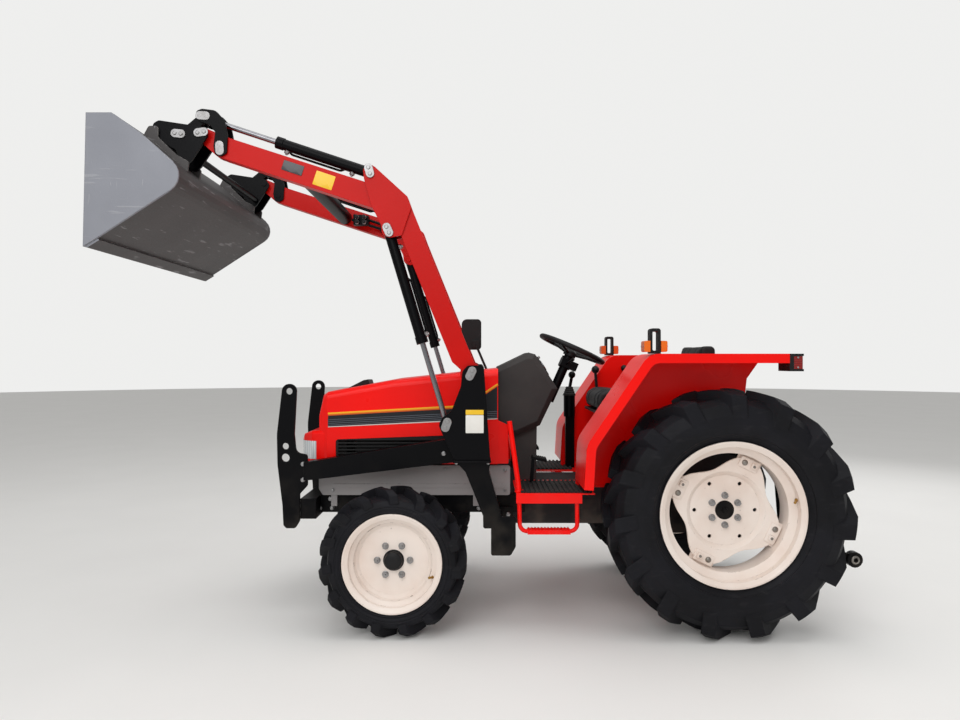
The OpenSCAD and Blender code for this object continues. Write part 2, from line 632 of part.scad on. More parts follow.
// a tyre about its own centre, with its lugs trimmed to a rounded crown
module tyre(bead, w, h) {
  r = bead + h;
  c = r - lug_h;
  s = c - bead;
  n = lug_count;
  spun([[bead, -w * 0.36], [bead + 24, -w * 0.36], [bead + s * 0.25, -w * 0.46],
    [bead + s * 0.45, -w * 0.5],
    [bead + s * 0.62, -w * 0.49], [bead + s * 0.84, -w * 0.43], [c - 6, -w * 0.3], [c, 0], [c - 6, w * 0.3],
    [bead + s * 0.84, w * 0.43], [bead + s * 0.62, w * 0.49], [bead + s * 0.45, w * 0.5],
    [bead + s * 0.25, w * 0.46], [bead + 24, w * 0.36], [bead, w * 0.36]]);
  intersection() {
    spun([[bead + s * 0.55, -w * 0.497], [r - 26, -w * 0.497], [r - 4, -w * 0.36], [r, -w * 0.1],
      [r, w * 0.1],
      [r - 4, w * 0.36], [r - 26, w * 0.497], [bead + s * 0.55, w * 0.497]]);
    for (i = [0:n - 1]) {
      rotate([0, (i + 0.193) * 360 / n, 0]) lug(r, w, h * 0.52);
      rotate([0, (i + 0.693) * 360 / n, 0]) mirror([0, 1, 0]) lug(r, w, h * 0.52);
    }
  }
}
module tyre_front_left() color(rubber) translate([fa, fy, fz]) tyre(front_rim_r, front_w, front_h);
module tyre_front_right() color(rubber) translate([fa, -fy, fz]) tyre(front_rim_r, front_w, front_h);
module tyre_rear_left() color(rubber) translate([ra, ry, rz]) tyre(rear_rim_r, rear_w, rear_h);
module tyre_rear_right() color(rubber) translate([ra, -ry, rz]) tyre(rear_rim_r, rear_w, rear_h);

// a rim's section, from its inner to its outer flange
module rim(bead, hw, well) {
  b = bead - 0.4;
  spun([[b + 20, -hw], [b + 20, -hw + 7], [b, -hw + 13], [b, -hw * 0.6], [b - well, -hw * 0.4],
    [b - well, hw * 0.4], [b, hw * 0.6], [b, hw - 13], [b + 20, hw - 7], [b + 20, hw], [b + 13, hw],
    [b - 7, hw - 11], [b - 7, hw * 0.6 + 2], [b - well - 7, hw * 0.4 + 2], [b - well - 7, -hw * 0.4 - 2],
    [b - 7, -hw * 0.6 - 2], [b - 7, -hw + 11], [b + 13, -hw]]);
}
// half width of a rim on a tyre of width w
function rim_hw(w) = w * 0.36 + 13.4;
front_well = 20;
rear_well = 32;
module rim_front() {
  d = front_rim_r - front_well - 2;
  rim(front_rim_r, rim_hw(front_w), front_well);
  // dished disc with a rolled edge
  difference() {
    spun([[0, -10], [d - 22, -10], [d - 8, 4], [d, 4], [d, 26], [d - 8, 26], [d - 12, 14], [d - 26, 0],
      [0, 0]]);
    for (i = [0:5]) rotate([0, i * 60, 0]) translate([75, 20, 0]) rotate([90, 0, 0]) cylinder(h = 60,
      r = 8);
  }
}
module rim_front_left() color(cream) translate([fa, fy, fz]) rim_front();
module rim_front_right() color(cream) translate([fa, -fy, fz]) mirror([0, 1, 0]) rim_front();

// reach of the rear disc's four arms, and the turn of the first
arm_reach = rear_rim_r - rear_well - 15;
arm_turn = 26;
module rim_rear() {
  rim(rear_rim_r, rim_hw(rear_w), rear_well);
  // brackets that take the disc
  for (i = [0:3]) rotate([0, i * 90 - arm_turn, 0])
    block([-58, -9, arm_reach - 46], [58, -seat, arm_reach + 12]);
}
module rim_rear_left() color(cream) translate([ra, ry, rz]) rim_rear();
module rim_rear_right() color(cream) translate([ra, -ry, rz]) mirror([0, 1, 0]) rim_rear();

// the disc: a pressed dish cut to a rounded outline with four arms
function lobe(a) = (arm_reach - 33 + 33 * cos(4 * (a - arm_turn))) * [cos(a), sin(a)];
module disc_rear() difference() {
  intersection() {
    spun([[0, -20], [165, -20], [176, -8], [184, 0], [arm_reach + 8, 0], [arm_reach + 8, 9], [180, 9],
      [170, 0],
      [161, -11], [0, -11]]);
    rotate([90, 0, 0]) translate([0, 0, -60]) linear_extrude(120)
      polygon([for (a = [0:5:355]) lobe(a)]);
  }
  rotate([90, 0, 0]) translate([0, 0, -60]) cylinder(h = 120, r = 44);
  for (i = [0:5]) rotate([0, i * 60, 0]) translate([139, 60, 0]) rotate([90, 0, 0]) cylinder(h = 120,
    r = 9);
}
module disc_rear_left() color(cream) translate([ra, ry, rz]) disc_rear();
module disc_rear_right() color(cream) translate([ra, -ry, rz]) mirror([0, 1, 0]) disc_rear();

module steering_wheel() color(black) translate(sw) rotate([0, -sw_tilt, 0]) {
  rotate_extrude($fn = 96) translate([wheel_d / 2 - 13, 0]) circle(13, $fn = 24);
  translate([0, 0, -40]) cylinder(h = 22, r = hub_hw);
  for (i = [0:2]) rotate([0, 0, i * 120 + 60]) translate([0, 0, -30]) rotate([0, 80, 0])
    cylinder(h = wheel_d / 2 - 10, r = 8);
}

arm_line = on_loader([[1128, 1176], [1200, 1192], [1254, 1241], [1527, 1918], [2301, 2175, 30],
  [2338, 2190],
  [2424, 2266, 14], [2424, 2310, 20], [2388, 2316, 20], [2287, 2273], [1478, 2012], [1458, 1999],
  [1440, 1949]]);
knee_line = on_loader([[1440, 1949], [1458, 1999], [1606, 2134], [1632, 2150, 26], [1662, 2128, 26],
  [1657, 2080, 40],
  [1624, 1960, 80], [1580, 1870, 30], [1574, 1826, 22], [1540, 1810, 26], [1484, 1822]]);
module boom_arm() {
  difference() {
    union() {
      side(arm_line, arm_y - arm_hw, arm_y + arm_hw);
      pin(PP, 50, arm_hw);
    }
    bar(AA, pr + run, 0, 700);
    bar(CC, pr + run, 0, 700);
  }
  // knee plates with the cylinder pins
  both_sides(knee_line, arm_hw, knee_out);
  for (p = [KK, LL]) pin(p, pr, knee_out + 8);
  pin(PP, pr, tower_out + 8);
}
module boom_left() color(loader_red) boom_arm();
module boom_right() color(loader_red) mirror([0, 1, 0]) boom_arm();

// cross tube near the arms' undersides, clear of the pipes' clips
tube_at = [ra + 1924, 2092 + lz];
module boom_tube() color(black)
  bar(tube_at, 40, -arm_y + arm_hw + seat, arm_y - arm_hw - seat);

// oil pipes along the inner faces of the arms
pipe_line = on_loader([[1236, 1310], [1500, 1965, 80], [1872, 2087]]);
module boom_pipes() color(black) {
  pair() {
    for (d = [-14, 14]) pipe(beside(soft(pipe_line), d), pipe_d, pipe_y);
    // clips that hold the pipes to the arm
    for (p = on_loader([[1290, 1444], [1430, 1791], [1700, 2031], [1830, 2073]]))
      block([p[0] - 10, pipe_y - 4, p[1] - 30], [p[0] + 10, arm_y - arm_hw - seat, p[1] + 30]);
  }
  // valve block on the right arm
  block([tube_at[0] - 150, -pipe_y - 6, tube_at[1] - 56], [tube_at[0] - 62, -pipe_y + 44, tube_at[1] - 2]);
}

// barrel from pin a toward b, with its eye at a
module barrel(a, b, len) {
  u = unit(a, b);
  difference() {
    union() {
      pin(a, 30, 26);
      strut(a, a + u * len, barrel_d / 2, arm_y);
      // gland nut at the rod's end
      strut(a + u * (len - 34), a + u * len, barrel_d / 2 + 3, arm_y);
    }
    bar(a, pr + run, 0, 700);
    strut(a + u * 60, a + u * (len + 10), rod_d / 2 + 0.5, arm_y);
  }
}
// rod whose eye is at b, reaching back into the barrel
module rod(a, b, len) {
  pin(b, 27, eye_hw);
  strut(b, b + unit(b, a) * len, rod_d / 2, arm_y);
}
module lift_barrels() color(black) pair() barrel(LL, TT, 540);
module lift_rods() color(chrome) pair() rod(LL, TT, 480);
module tilt_barrels() color(black) pair() barrel(KK, BB, 458);
module tilt_rods() color(chrome) pair() rod(KK, BB, 400);

// hooked lever on the arm: up from A, round its corner and forward to B, clear of C
crank_line = concat(around(AA, [[-6, -38, 14], [22, -30, 16], [28, 10], [20, 72], [44, 106, 20]]),
  around(BB, [[6, -30, 20], [32, -10, 16], [30, 22, 16], [4, 32, 20], [-60, 24, 40]]),
  around(AA, [[-24, 124, 60], [-36, 60], [-32, -22, 14]]));
module bell_cranks() color(black) pair() {
  both_sides(crank_line, crank_in, crank_out);
  pin(AA, pr, crank_out + 3);
  stubs(BB, pr, eye_hw + 1, crank_out + 3);
}
module dump_links() color(black) pair() {
  u = unit(BB, DD);
  n = [-u[1], u[0]];
  difference() {
    union() {
      both_sides([BB + n * 22, BB - n * 22, DD - n * 22, DD + n * 22], link_in, link_out);
      stubs(BB, 26, link_in, link_out);
      stubs(DD, 26, link_in, link_out);
    }
    bar(BB, pr + run, 0, 700);
  }
  pin(DD, pr, link_out + 4);
}

// quick-hitch carriers: plates on the arm tips with a hook tube, lock pins and a tie between the sides
carrier_line = on_loader([[2590, 2342, 24], [2464, 2323, 40], [2384, 2312, 26], [2362, 2276, 24],
  [2438, 2160, 20],
  [2462, 2138, 14], [2500, 2146, 12], [2508, 2206, 30], [2600, 2258, 20], [2622, 2294, 16],
  [2612, 2328, 16]]);
module bucket_brackets() color(black) {
  pair() {
    both_sides(carrier_line, ear_in, ear_out);
    pin(CC, pr, ear_out + 6);
    stubs(hook, 20, ear_in, lug_in - seat);
    stubs(lock, 12, ear_in, lug_in - seat);
  }
  bar(tie, 16, -arm_y + ear_in, arm_y - ear_in);
}

bucket_line = on_loader([[2853, 1744], [2800, 1777], [2386, 2046, 78], [2595, 2231], [2728, 2327],
  [2840, 2327]]);
bucket_sheet = soft(bucket_line);
// ears on the bucket's back that the hook tube and the lock pins sit beside
ear_line = on_loader([[2452, 2104], [2446, 2150, 12], [2500, 2180, 30], [2586, 2262, 20], [2584, 2312, 14],
  [2628, 2312, 14], [2650, 2271]]);
module bucket() color([0.5, 0.5, 0.53]) {
  side(strip(back(bucket_sheet), bucket_t), -bucket_w / 2 + 8, bucket_w / 2 - 8);
  pair() side(bucket_line, bucket_w / 2 - 8, bucket_w / 2);
  // cutting edge under the floor's front, and the stiffened top lip
  side(on_loader([[2853, 1744], [2792, 1782.2], [2786, 1773], [2838, 1741]]), -bucket_w / 2 + 8,
    bucket_w / 2 - 8);
  side(on_loader([[2800, 2322], [2840, 2322], [2840, 2308], [2800, 2308]]), -bucket_w / 2 + 8,
    bucket_w / 2 - 8);
  pair() both_sides(ear_line, lug_in, lug_out);
}

frame_rails();
engine_block();
gearbox();
rear_axle();
front_axle();
hood();
front_grille();
headlamps();
side_grilles();
side_panels();
hood_stripes();
dash_cowl();
steering_column();
footplates();
steps();
fender_left();
fender_right();
tail_lamps();
turn_signals();
signal_frames();
seat_base();
seat_cushion();
seat_back();
loader_towers();
side_beams();
front_guards();
drawbar();
lower_links();
pto_shaft();
rear_mirror();
levers();
pedals();
loader_valve();
knuckle_left();
knuckle_right();
tyre_front_left();
tyre_front_right();
tyre_rear_left();
tyre_rear_right();
rim_front_left();
rim_front_right();
rim_rear_left();
rim_rear_right();
disc_rear_left();
disc_rear_right();
steering_wheel();
boom_left();
boom_right();
boom_tube();
boom_pipes();
lift_barrels();
lift_rods();
tilt_barrels();
tilt_rods();
bell_cranks();
dump_links();
bucket_brackets();
bucket();
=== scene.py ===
# %% [markdown]
# # A compact tractor with a front loader
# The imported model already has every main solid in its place. This lesson dresses it: a camera and a soft
# light, paints and rubber made from nodes, and the small pieces that a maker bolts on last.

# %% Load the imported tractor
import json
from math import cos, exp, pi, radians, sin

import bmesh
import bpy
from mathutils import Matrix, Vector


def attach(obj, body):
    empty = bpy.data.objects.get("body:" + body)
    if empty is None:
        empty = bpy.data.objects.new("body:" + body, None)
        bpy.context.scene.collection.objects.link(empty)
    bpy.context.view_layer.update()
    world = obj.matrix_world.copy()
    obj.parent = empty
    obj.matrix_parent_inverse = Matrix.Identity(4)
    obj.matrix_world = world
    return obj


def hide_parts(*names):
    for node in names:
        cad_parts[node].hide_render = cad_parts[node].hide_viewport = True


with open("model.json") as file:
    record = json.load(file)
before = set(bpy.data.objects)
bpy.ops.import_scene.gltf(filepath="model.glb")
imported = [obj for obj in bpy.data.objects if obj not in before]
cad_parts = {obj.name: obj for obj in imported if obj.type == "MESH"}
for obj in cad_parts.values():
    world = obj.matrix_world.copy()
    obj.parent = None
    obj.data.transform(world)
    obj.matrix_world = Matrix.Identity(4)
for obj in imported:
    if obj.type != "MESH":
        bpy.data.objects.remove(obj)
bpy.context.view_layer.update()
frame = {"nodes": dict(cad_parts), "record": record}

# %% [markdown]
# The photo was taken from the tractor's left, level with the hood's top and about 3.8 m from the middle. A
# picture 960 pixels wide with a focal length of 710 pixels is a 26.6 mm lens on a 36 mm sensor. Placing the
# camera by these numbers, and not by eye, makes every later comparison with the photo a fair one.

# %% Camera
scene = bpy.context.scene
scene.view_settings.view_transform = "Standard"
camera = bpy.data.objects.new("side_camera", bpy.data.cameras.new("side_camera"))
scene.collection.objects.link(camera)
camera.location = (0.0525, 3.764, 1.250)
camera.rotation_euler = (radians(90), 0, radians(180))
camera.data.sensor_width = 36
camera.data.lens = 36 * 710 / 960
scene.camera = camera
print("lens, mm:", round(camera.data.lens, 2))

# %% [markdown]
# Shader maths reads best as plain arithmetic. The class below wraps one socket: adding, multiplying or
# comparing two of them adds the Math node that does it. All other nodes come from one method of the finish
# that owns them, which sets a node's choices first and then its sockets.

# %% Sockets that add up, and the finish that holds them
class Value:
    """A node's output that takes part in arithmetic."""

    def __init__(self, finish, socket):
        self.finish, self.socket = finish, socket

    def math(self, operation, other=None, turned=False):
        first, second = (other, self) if turned else (self, other)
        sockets = {0: first} if second is None else {0: first, 1: second}
        return self.finish.add("ShaderNodeMath", {"operation": operation}, sockets)

    def __add__(self, other):
        return self.math("ADD", other)

    def __sub__(self, other):
        return self.math("SUBTRACT", other)

    def __rsub__(self, other):
        return self.math("SUBTRACT", other, True)

    def __mul__(self, other):
        return self.math("MULTIPLY", other)

    def __gt__(self, other):
        return self.math("GREATER_THAN", other)

    def __lt__(self, other):
        return self.math("LESS_THAN", other)

    def __abs__(self):
        return self.math("ABSOLUTE")

    __radd__ = __add__
    __rmul__ = __mul__


class Finish:
    """One node tree, built node by node."""

    def __init__(self, tree):
        self.tree = tree
        self.tree.nodes.clear()

    def add(self, kind, settings=None, sockets=None, out=0):
        node = self.tree.nodes.new(kind)
        for key, choice in (settings or {}).items():
            setattr(node, key, choice)
        for key, value in (sockets or {}).items():
            if isinstance(value, Value):
                self.tree.links.new(value.socket, node.inputs[key])
            else:
                node.inputs[key].default_value = value
        return Value(self, node.outputs[out]) if node.outputs else None

    def place(self):
        return self.add("ShaderNodeTexCoord", out="Object")

    def axis(self, letter):
        return self.add("ShaderNodeSeparateXYZ", None, {0: self.place()}, letter)

    def noise(self, scale, detail=3, stretch=(1, 1, 1)):
        spot = self.add("ShaderNodeMapping", None, {"Vector": self.place(), "Scale": stretch})
        return self.add("ShaderNodeTexNoise", None, {"Vector": spot, "Scale": scale, "Detail": detail})

    def ramp(self, value, low, high):
        """0 below low, 1 above high, and a smooth slope between."""
        return self.add("ShaderNodeMapRange", {"interpolation_type": "SMOOTHSTEP"},
                        {"Value": value, "From Min": low, "From Max": high})

    def mix(self, share, first, second):
        return self.add("ShaderNodeMix", {"data_type": "RGBA"}, {0: share, 6: first, 7: second}, 2)

    def rounded(self, radius):
        """The normal of a surface whose edges are eased by radius."""
        return self.add("ShaderNodeBevel", {"samples": 4}, {"Radius": radius})

    def edges(self, radius):
        """1 at sharp edges, 0 on open faces."""
        flat = self.add("ShaderNodeNewGeometry", out="Normal")
        close = self.add("ShaderNodeVectorMath", {"operation": "DOT_PRODUCT"},
                         {0: self.rounded(radius), 1: flat}, "Value")
        return self.ramp(1 - close, 0.03, 0.2)

    def bump(self, height, depth, radius):
        return self.add("ShaderNodeBump", None, {"Strength": 1.0, "Distance": depth, "Height": height,
                                                 "Normal": self.rounded(radius)})

    def close(self, **sockets):
        """Ends in a Principled shader, whose socket names are written with _ for a space."""
        shader = self.add("ShaderNodeBsdfPrincipled", None,
                          {key.replace("_", " "): value for key, value in sockets.items()})
        self.add("ShaderNodeOutputMaterial", None, {"Surface": shader})


FINISH = {}


def finish(name):
    """A new material, kept under its name."""
    FINISH[name] = bpy.data.materials.new(name)
    FINISH[name].use_nodes = True
    return Finish(FINISH[name].node_tree)


def screen(r, g, b):
    """A colour as a screen shows it, 0 to 255, in the shader's linear scale."""
    return (*[c / 3294.6 if c < 10.3 else ((c / 255 + 0.055) / 1.055) ** 2.4 for c in (r, g, b)], 1)


print("a mid grey of 128 is", round(screen(128, 128, 128)[0], 3), "in linear light")

# %% [markdown]
# The stage is a wide pale floor under an even pale sky. The camera sees the sky near white, while the tractor
# is lit by less of it and mirrors less of it, so that red paint stays red. One large lamp beside it and one
# above light it as a window and a roof light would, and a weaker one reaches the far rear.

# %% Floor, sky and lamps
pale = finish("studio_floor")
pale.close(Base_Color=pale.mix(pale.noise(1.5, 5), screen(232, 231, 229), screen(238, 237, 235)), Roughness=0.7,
           Specular_IOR_Level=0.1)
floor_shape = bmesh.new()
bmesh.ops.create_circle(floor_shape, cap_ends=True, segments=96, radius=30)
floor_mesh = bpy.data.meshes.new("studio_floor")
floor_shape.to_mesh(floor_mesh)
floor_shape.free()
floor_mesh.materials.append(FINISH["studio_floor"])
floor = bpy.data.objects.new("studio_floor", floor_mesh)
floor.location = (0, 0, -0.001)
scene.collection.objects.link(floor)

scene.world = bpy.data.worlds.new("pale_sky")
scene.world.use_nodes = True
sky = Finish(scene.world.node_tree)
shown = sky.add("ShaderNodeLightPath", out="Is Camera Ray")
mirrored = sky.add("ShaderNodeLightPath", out="Is Glossy Ray")
sky.add("ShaderNodeOutputWorld", None, {"Surface": sky.add("ShaderNodeBackground", None, {
    "Color": (0.86, 0.86, 0.85, 1), "Strength": 0.62 + 0.38 * shown - 0.17 * mirrored})})


def lamp(name, spot, aim, size, watts):
    """A square soft box that points at aim."""
    light = bpy.data.lights.new(name, "AREA")
    light.size, light.energy = size, watts
    thing = bpy.data.objects.new(name, light)
    thing.location = spot
    thing.rotation_euler = (Vector(aim) - Vector(spot)).to_track_quat("-Z", "Y").to_euler()
    scene.collection.objects.link(thing)


lamp("window_lamp", (1.5, 5.5, 4.2), (0, 0, 0.9), 4.0, 150)
lamp("roof_lamp", (-0.4, 0.6, 6.0), (0, 0, 0.8), 5.0, 130)
lamp("rear_lamp", (-4.5, -3.5, 3.6), (0, 0, 0.9), 3.0, 60)
print("stage set, lamps:", len(bpy.data.lights))

# %% [markdown]
# Sprayed paint is the tractor's main finish. A slow cloud of noise fades it, dust gathers low down, and the
# edges lose small chips where hands and stones reach them. An edge is found by comparing the surface's
# own normal with one that the Bevel node eases, so the same paint works on any solid without extra meshes.

# %% Paints
def paint(name, colour, chip, rough=0.3, gloss=0.3, wear=0.6, dust=0.3, fade=0.9):
    f = finish(name)
    cloud, fleck = f.noise(2.2, 4), f.noise(70, 4)
    darker = (*[c * fade for c in colour[:3]], 1)
    low = 1 - f.ramp(f.axis("Z"), 0.1, 0.85)
    dusty = low * f.ramp(f.noise(9, 5), 0.42, 0.75) * dust
    chips = f.edges(0.0035) * f.ramp(fleck, 0.56, 0.66) * wear
    body = f.mix(f.ramp(cloud, 0.3, 0.7), colour, darker)
    f.close(Base_Color=f.mix(chips, f.mix(dusty, body, screen(150, 138, 124)), chip),
            Roughness=rough + 0.1 * cloud + 0.4 * dusty + 0.25 * chips, Specular_IOR_Level=gloss,
            Normal=f.bump(f.noise(420, 2), 0.00025, 0.0025))


bare = screen(120, 112, 105)
paint("red_paint", screen(254, 8, 0), bare, rough=0.24, gloss=0.24, wear=0.3, dust=0.12)
paint("loader_red", screen(198, 9, 2), screen(90, 60, 55), rough=0.3, gloss=0.16, wear=0.25, dust=0.0)
paint("black_paint", screen(5, 5, 8), screen(78, 76, 74), rough=0.32, gloss=0.11, wear=0.3, dust=0.12)
paint("grey_paint", screen(162, 158, 158), screen(80, 78, 76), rough=0.4, gloss=0.25, dust=0.3)
paint("cast_grey", screen(46, 45, 46), screen(104, 96, 88), rough=0.6, gloss=0.2, dust=0.4)
print("paints:", sorted(FINISH))

# %% [markdown]
# The rims are cream, and rust has bitten where tyre levers and stones hit them. The blotches are a second,
# larger noise that is let through only near edges, and a few grains of it anywhere.

# %% Cream rims
f = finish("cream_paint")
edge = f.edges(0.006)
blotch = f.ramp(f.noise(26, 6), 0.55, 0.66)
grain = f.ramp(f.noise(60, 3), 0.7, 0.76)
rust = (edge * blotch * 0.8 + grain * 0.35).math("MINIMUM", 1.0)
cream = f.mix(f.ramp(f.noise(3.5, 4), 0.35, 0.7), screen(243, 231, 222), screen(232, 214, 202))
f.close(Base_Color=f.mix(rust, cream, f.mix(f.noise(120, 2), screen(120, 84, 62), screen(60, 46, 40))),
        Roughness=0.38 + 0.35 * rust, Specular_IOR_Level=0.3,
        Normal=f.bump(f.noise(300, 2) - rust * 0.6, 0.0004, 0.004))
print("rim finish made")

# %% [markdown]
# Tyre rubber is nearly black with a soft sheen, paler where it is scuffed. The moulded rings near the bead are
# drawn by distance from the wheel's own axle, which a material can measure from Object coordinates. Hubs are
# given, as all places below are, in millimetres ahead of the rear axle and up.

# %% Rubber
REAR_AXLE_X = -1073
REAR_HUB, FRONT_HUB = (0, 560), (1520, 336)


def rubber(name, hub, bead):
    f = finish(name)
    x, z = f.axis("X") - (hub[0] + REAR_AXLE_X) / 1000, f.axis("Z") - hub[1] / 1000
    reach = (x * x + z * z).math("SQRT")
    rings = f.ramp(reach, bead + 0.014, bead + 0.02) * (1 - f.ramp(reach, bead + 0.027, bead + 0.033))
    line = f.ramp(abs(reach - (bead + 0.05)), 0.0, 0.004)
    patch, pores = f.noise(7, 5), f.noise(240, 3)
    scuff = f.ramp(f.noise(18, 5, (1, 1, 3)), 0.55, 0.8) * 0.5
    tone = f.mix(f.ramp(patch, 0.3, 0.7), screen(21, 21, 27), screen(15, 15, 19))
    f.close(Base_Color=f.mix(scuff * 0.5, tone, screen(54, 52, 54)), Roughness=0.5 + 0.2 * patch + 0.12 * scuff,
            Specular_IOR_Level=0.2,
            Normal=f.bump(rings * 2 + line + 0.12 * pores + 0.5 * scuff, 0.0022, 0.007))


rubber("rear_rubber", REAR_HUB, 0.309)
rubber("front_rubber", FRONT_HUB, 0.206)
print("rubber finishes made")

# %% [markdown]
# Chrome, zinc, worn steel and brass are all metal: full metallic, and told apart by colour and by how rough they
# are. A ground rod has the finest grain, and a slow cloud keeps each of them from looking too clean.

# %% Metals
def metal(name, colour, shade, rough, grain_scale, depth):
    f = finish(name)
    cloud, grain = f.noise(24, 4), f.noise(grain_scale, 3)
    f.close(Base_Color=f.mix(cloud, colour, shade), Metallic=1.0, Roughness=rough + 0.18 * cloud * grain,
            Normal=f.bump(grain, depth, 0.0015))


metal("rod_chrome", screen(150, 150, 154), screen(126, 126, 130), 0.2, 300, 0.00003)
metal("zinc", screen(176, 176, 178), screen(140, 138, 136), 0.36, 200, 0.0001)
metal("bare_steel", screen(168, 164, 158), screen(120, 114, 108), 0.38, 160, 0.0002)
metal("brass", screen(196, 160, 88), screen(150, 112, 60), 0.34, 200, 0.0001)
print("metals made")

# %% [markdown]
# The bucket is grey sheet. Its side plates kept their paint, with long scratches, and its bottom and heel are
# darker, partly from soil and partly as painted shade of the underside. The plates are told from the sheet by their
# distance from the middle plane.

# %% Bucket grey
f = finish("bucket_grey")
plate = f.ramp(abs(f.axis("Y")), 0.6675, 0.6685)
scratch = f.ramp(f.noise(5, 6, (1, 1, 9)), 0.62, 0.7) + f.ramp(f.noise(6, 6, (12, 1, 2)), 0.66, 0.72)
cloud, grain = f.noise(4, 5), f.noise(130, 3)
side_tone = f.mix(cloud, screen(150, 152, 160), screen(128, 130, 138))
# The sheet's darker tone is partly soil and partly painted shade of the bucket's underside.
shaded_sheet_tone = f.mix(cloud, screen(78, 75, 75), screen(60, 57, 57))
worn = f.edges(0.005) * f.ramp(f.noise(50, 4), 0.5, 0.62)
tone = f.mix(scratch.math("MINIMUM", 1.0) * 0.3, f.mix(plate, shaded_sheet_tone, side_tone), screen(178, 178, 182))
f.close(Base_Color=f.mix(worn * 0.7, tone, screen(176, 172, 166)), Metallic=0.25, Roughness=0.42 + 0.2 * grain,
        Normal=f.bump(grain + scratch, 0.0003, 0.004))
print("bucket finish made")

# %% [markdown]
# Moulded plastic has a fine leather-like skin, and vinyl a coarser one. Both are cells of a Voronoi texture
# used as a bump, with a little change of gloss where they are touched.

# %% Plastics and vinyl
def moulded(name, colour, shade, rough, cells, depth, radius=0.003):
    f = finish(name)
    skin = f.add("ShaderNodeTexVoronoi", None, {"Vector": f.place(), "Scale": cells}, "Distance")
    cloud = f.noise(6, 4)
    f.close(Base_Color=f.mix(f.ramp(cloud, 0.3, 0.7), colour, shade), Roughness=rough + 0.12 * cloud,
            Specular_IOR_Level=0.3,
            Normal=f.bump(skin + 0.3 * f.noise(400, 2), depth, radius))


moulded("black_plastic", screen(15, 15, 17), screen(22, 21, 22), 0.42, 700, 0.0003)
moulded("dark_plastic", screen(54, 51, 50), screen(45, 43, 43), 0.52, 620, 0.0004, 0.006)
moulded("seat_vinyl", screen(22, 22, 24), screen(29, 28, 29), 0.46, 330, 0.0006)
moulded("rubber_mat", screen(24, 24, 25), screen(42, 40, 38), 0.62, 500, 0.0004, 0.002)
print("plastics made")

# %% [markdown]
# Lamp lenses are clear or coloured plastic with moulded flutes that spread the light. The flutes are a sine
# along the lens, and a pale reflector behind is suggested by a bright base colour under the glossy skin.

# %% Lenses and glass
def lens(name, colour, shade, pitch, letter, depth, metallic=0.0):
    f = finish(name)
    flute = (f.axis(letter) * (2 * pi / pitch)).math("SINE")
    f.close(Base_Color=f.mix(0.5 + 0.5 * flute, colour, shade), Roughness=0.12 + 0.1 * f.noise(20, 3),
            Metallic=metallic, Coat_Weight=0.25, Coat_Roughness=0.03, Normal=f.bump(flute, depth, 0.003))


lens("lamp_glass", screen(236, 239, 240), screen(205, 210, 214), 0.012, "X", 0.0005, 0.2)
lens("red_lens", screen(150, 12, 8), screen(110, 6, 5), 0.008, "Z", 0.0005)
lens("amber_lens", screen(240, 112, 8), screen(214, 84, 4), 0.007, "Y", 0.0004)
f = finish("mirror_glass")
f.close(Base_Color=f.mix(f.noise(8, 3), screen(226, 230, 232), screen(206, 212, 216)), Metallic=1.0,
        Roughness=0.03 + 0.05 * f.noise(30, 3))
print("lenses made")

# %% [markdown]
# The trim on the hood's flank is one CAD piece: a black band with ribs, a yellow stripe along its upper edge
# and a thin pale line under it. The upper edge bends twice, and since it only gets steeper towards the rear,
# its height is the largest of three straight lines. Depth below that edge then picks the colour. The ribs are
# a sine of the height above the lower edge, let through only in the band's lower half.

# %% Hood trim
f = finish("yellow_trim")
x, z = f.axis("X"), f.axis("Z")


def through(x0, z0, x1, z1):
    """The height of a straight line at x, from two points in millimetres ahead of the rear axle."""
    slope = (z1 - z0) / (x1 - x0)
    return (x - (x0 + REAR_AXLE_X) / 1000) * slope + z0 / 1000


top = through(1876, 990, 1262, 1024).math("MAXIMUM", through(1262, 1024, 1180, 1040))
top = top.math("MAXIMUM", through(1180, 1040, 1040, 1134))
below_top = top - z
stripe = f.mix(f.ramp(below_top, 0.004, 0.011), screen(250, 184, 34), screen(228, 96, 14))
up = z - through(1876, 918, 1297, 945).math("MINIMUM", through(1297, 945, 1040, 958))
pale_line = 1 - f.ramp(up, 0.005, 0.0065)
wave = ((up - 0.012) * (2 * pi / 0.009)).math("COSINE")
ribs = f.ramp(wave, 0.2, 0.5) * (up > 0.008) * (up < 0.044)
band = f.mix(f.noise(30, 4), screen(20, 22, 26), screen(30, 33, 38))
band = f.mix(ribs, band, screen(88, 94, 104))
under = f.mix(pale_line, band, screen(214, 208, 204))
f.close(Base_Color=f.mix(1 - f.ramp(below_top, 0.0145, 0.0155), under, stripe),
        Roughness=0.34 + 0.1 * f.noise(40, 3), Specular_IOR_Level=0.3,
        Normal=f.bump(ribs + 0.1 * f.noise(300, 2), 0.001, 0.001))
print("trim made")

# %% [markdown]
# Every CAD node now takes its finish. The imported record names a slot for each, so the list below only says
# where a finish differs from its slot's name, such as the two sizes of tyre.

# %% Dress the CAD nodes
SPECIAL = {"tyre_rear_left": "rear_rubber", "tyre_rear_right": "rear_rubber",
           "tyre_front_left": "front_rubber", "tyre_front_right": "front_rubber"}
slots = {p["node"]: p["material_slot"] for p in frame["record"]["subparts"]}
for name, node in frame["nodes"].items():
    node.data.materials.clear()
    node.data.materials.append(FINISH[SPECIAL.get(name) or slots[name]])
print("CAD nodes dressed:", len(frame["nodes"]))

# %% [markdown]
# The small pieces share a few tools. A tool is a shape built once at the origin, its foot at z = 0; it is then
# stamped wherever it is needed, which keeps hundreds of bolts cheap to write and the same as each other.

# %% Workshop helpers
def at(x, y, z):
    """A point in metres, from millimetres ahead of the rear axle, to the left and up."""
    return Vector((x + REAR_AXLE_X, y, z)) / 1000


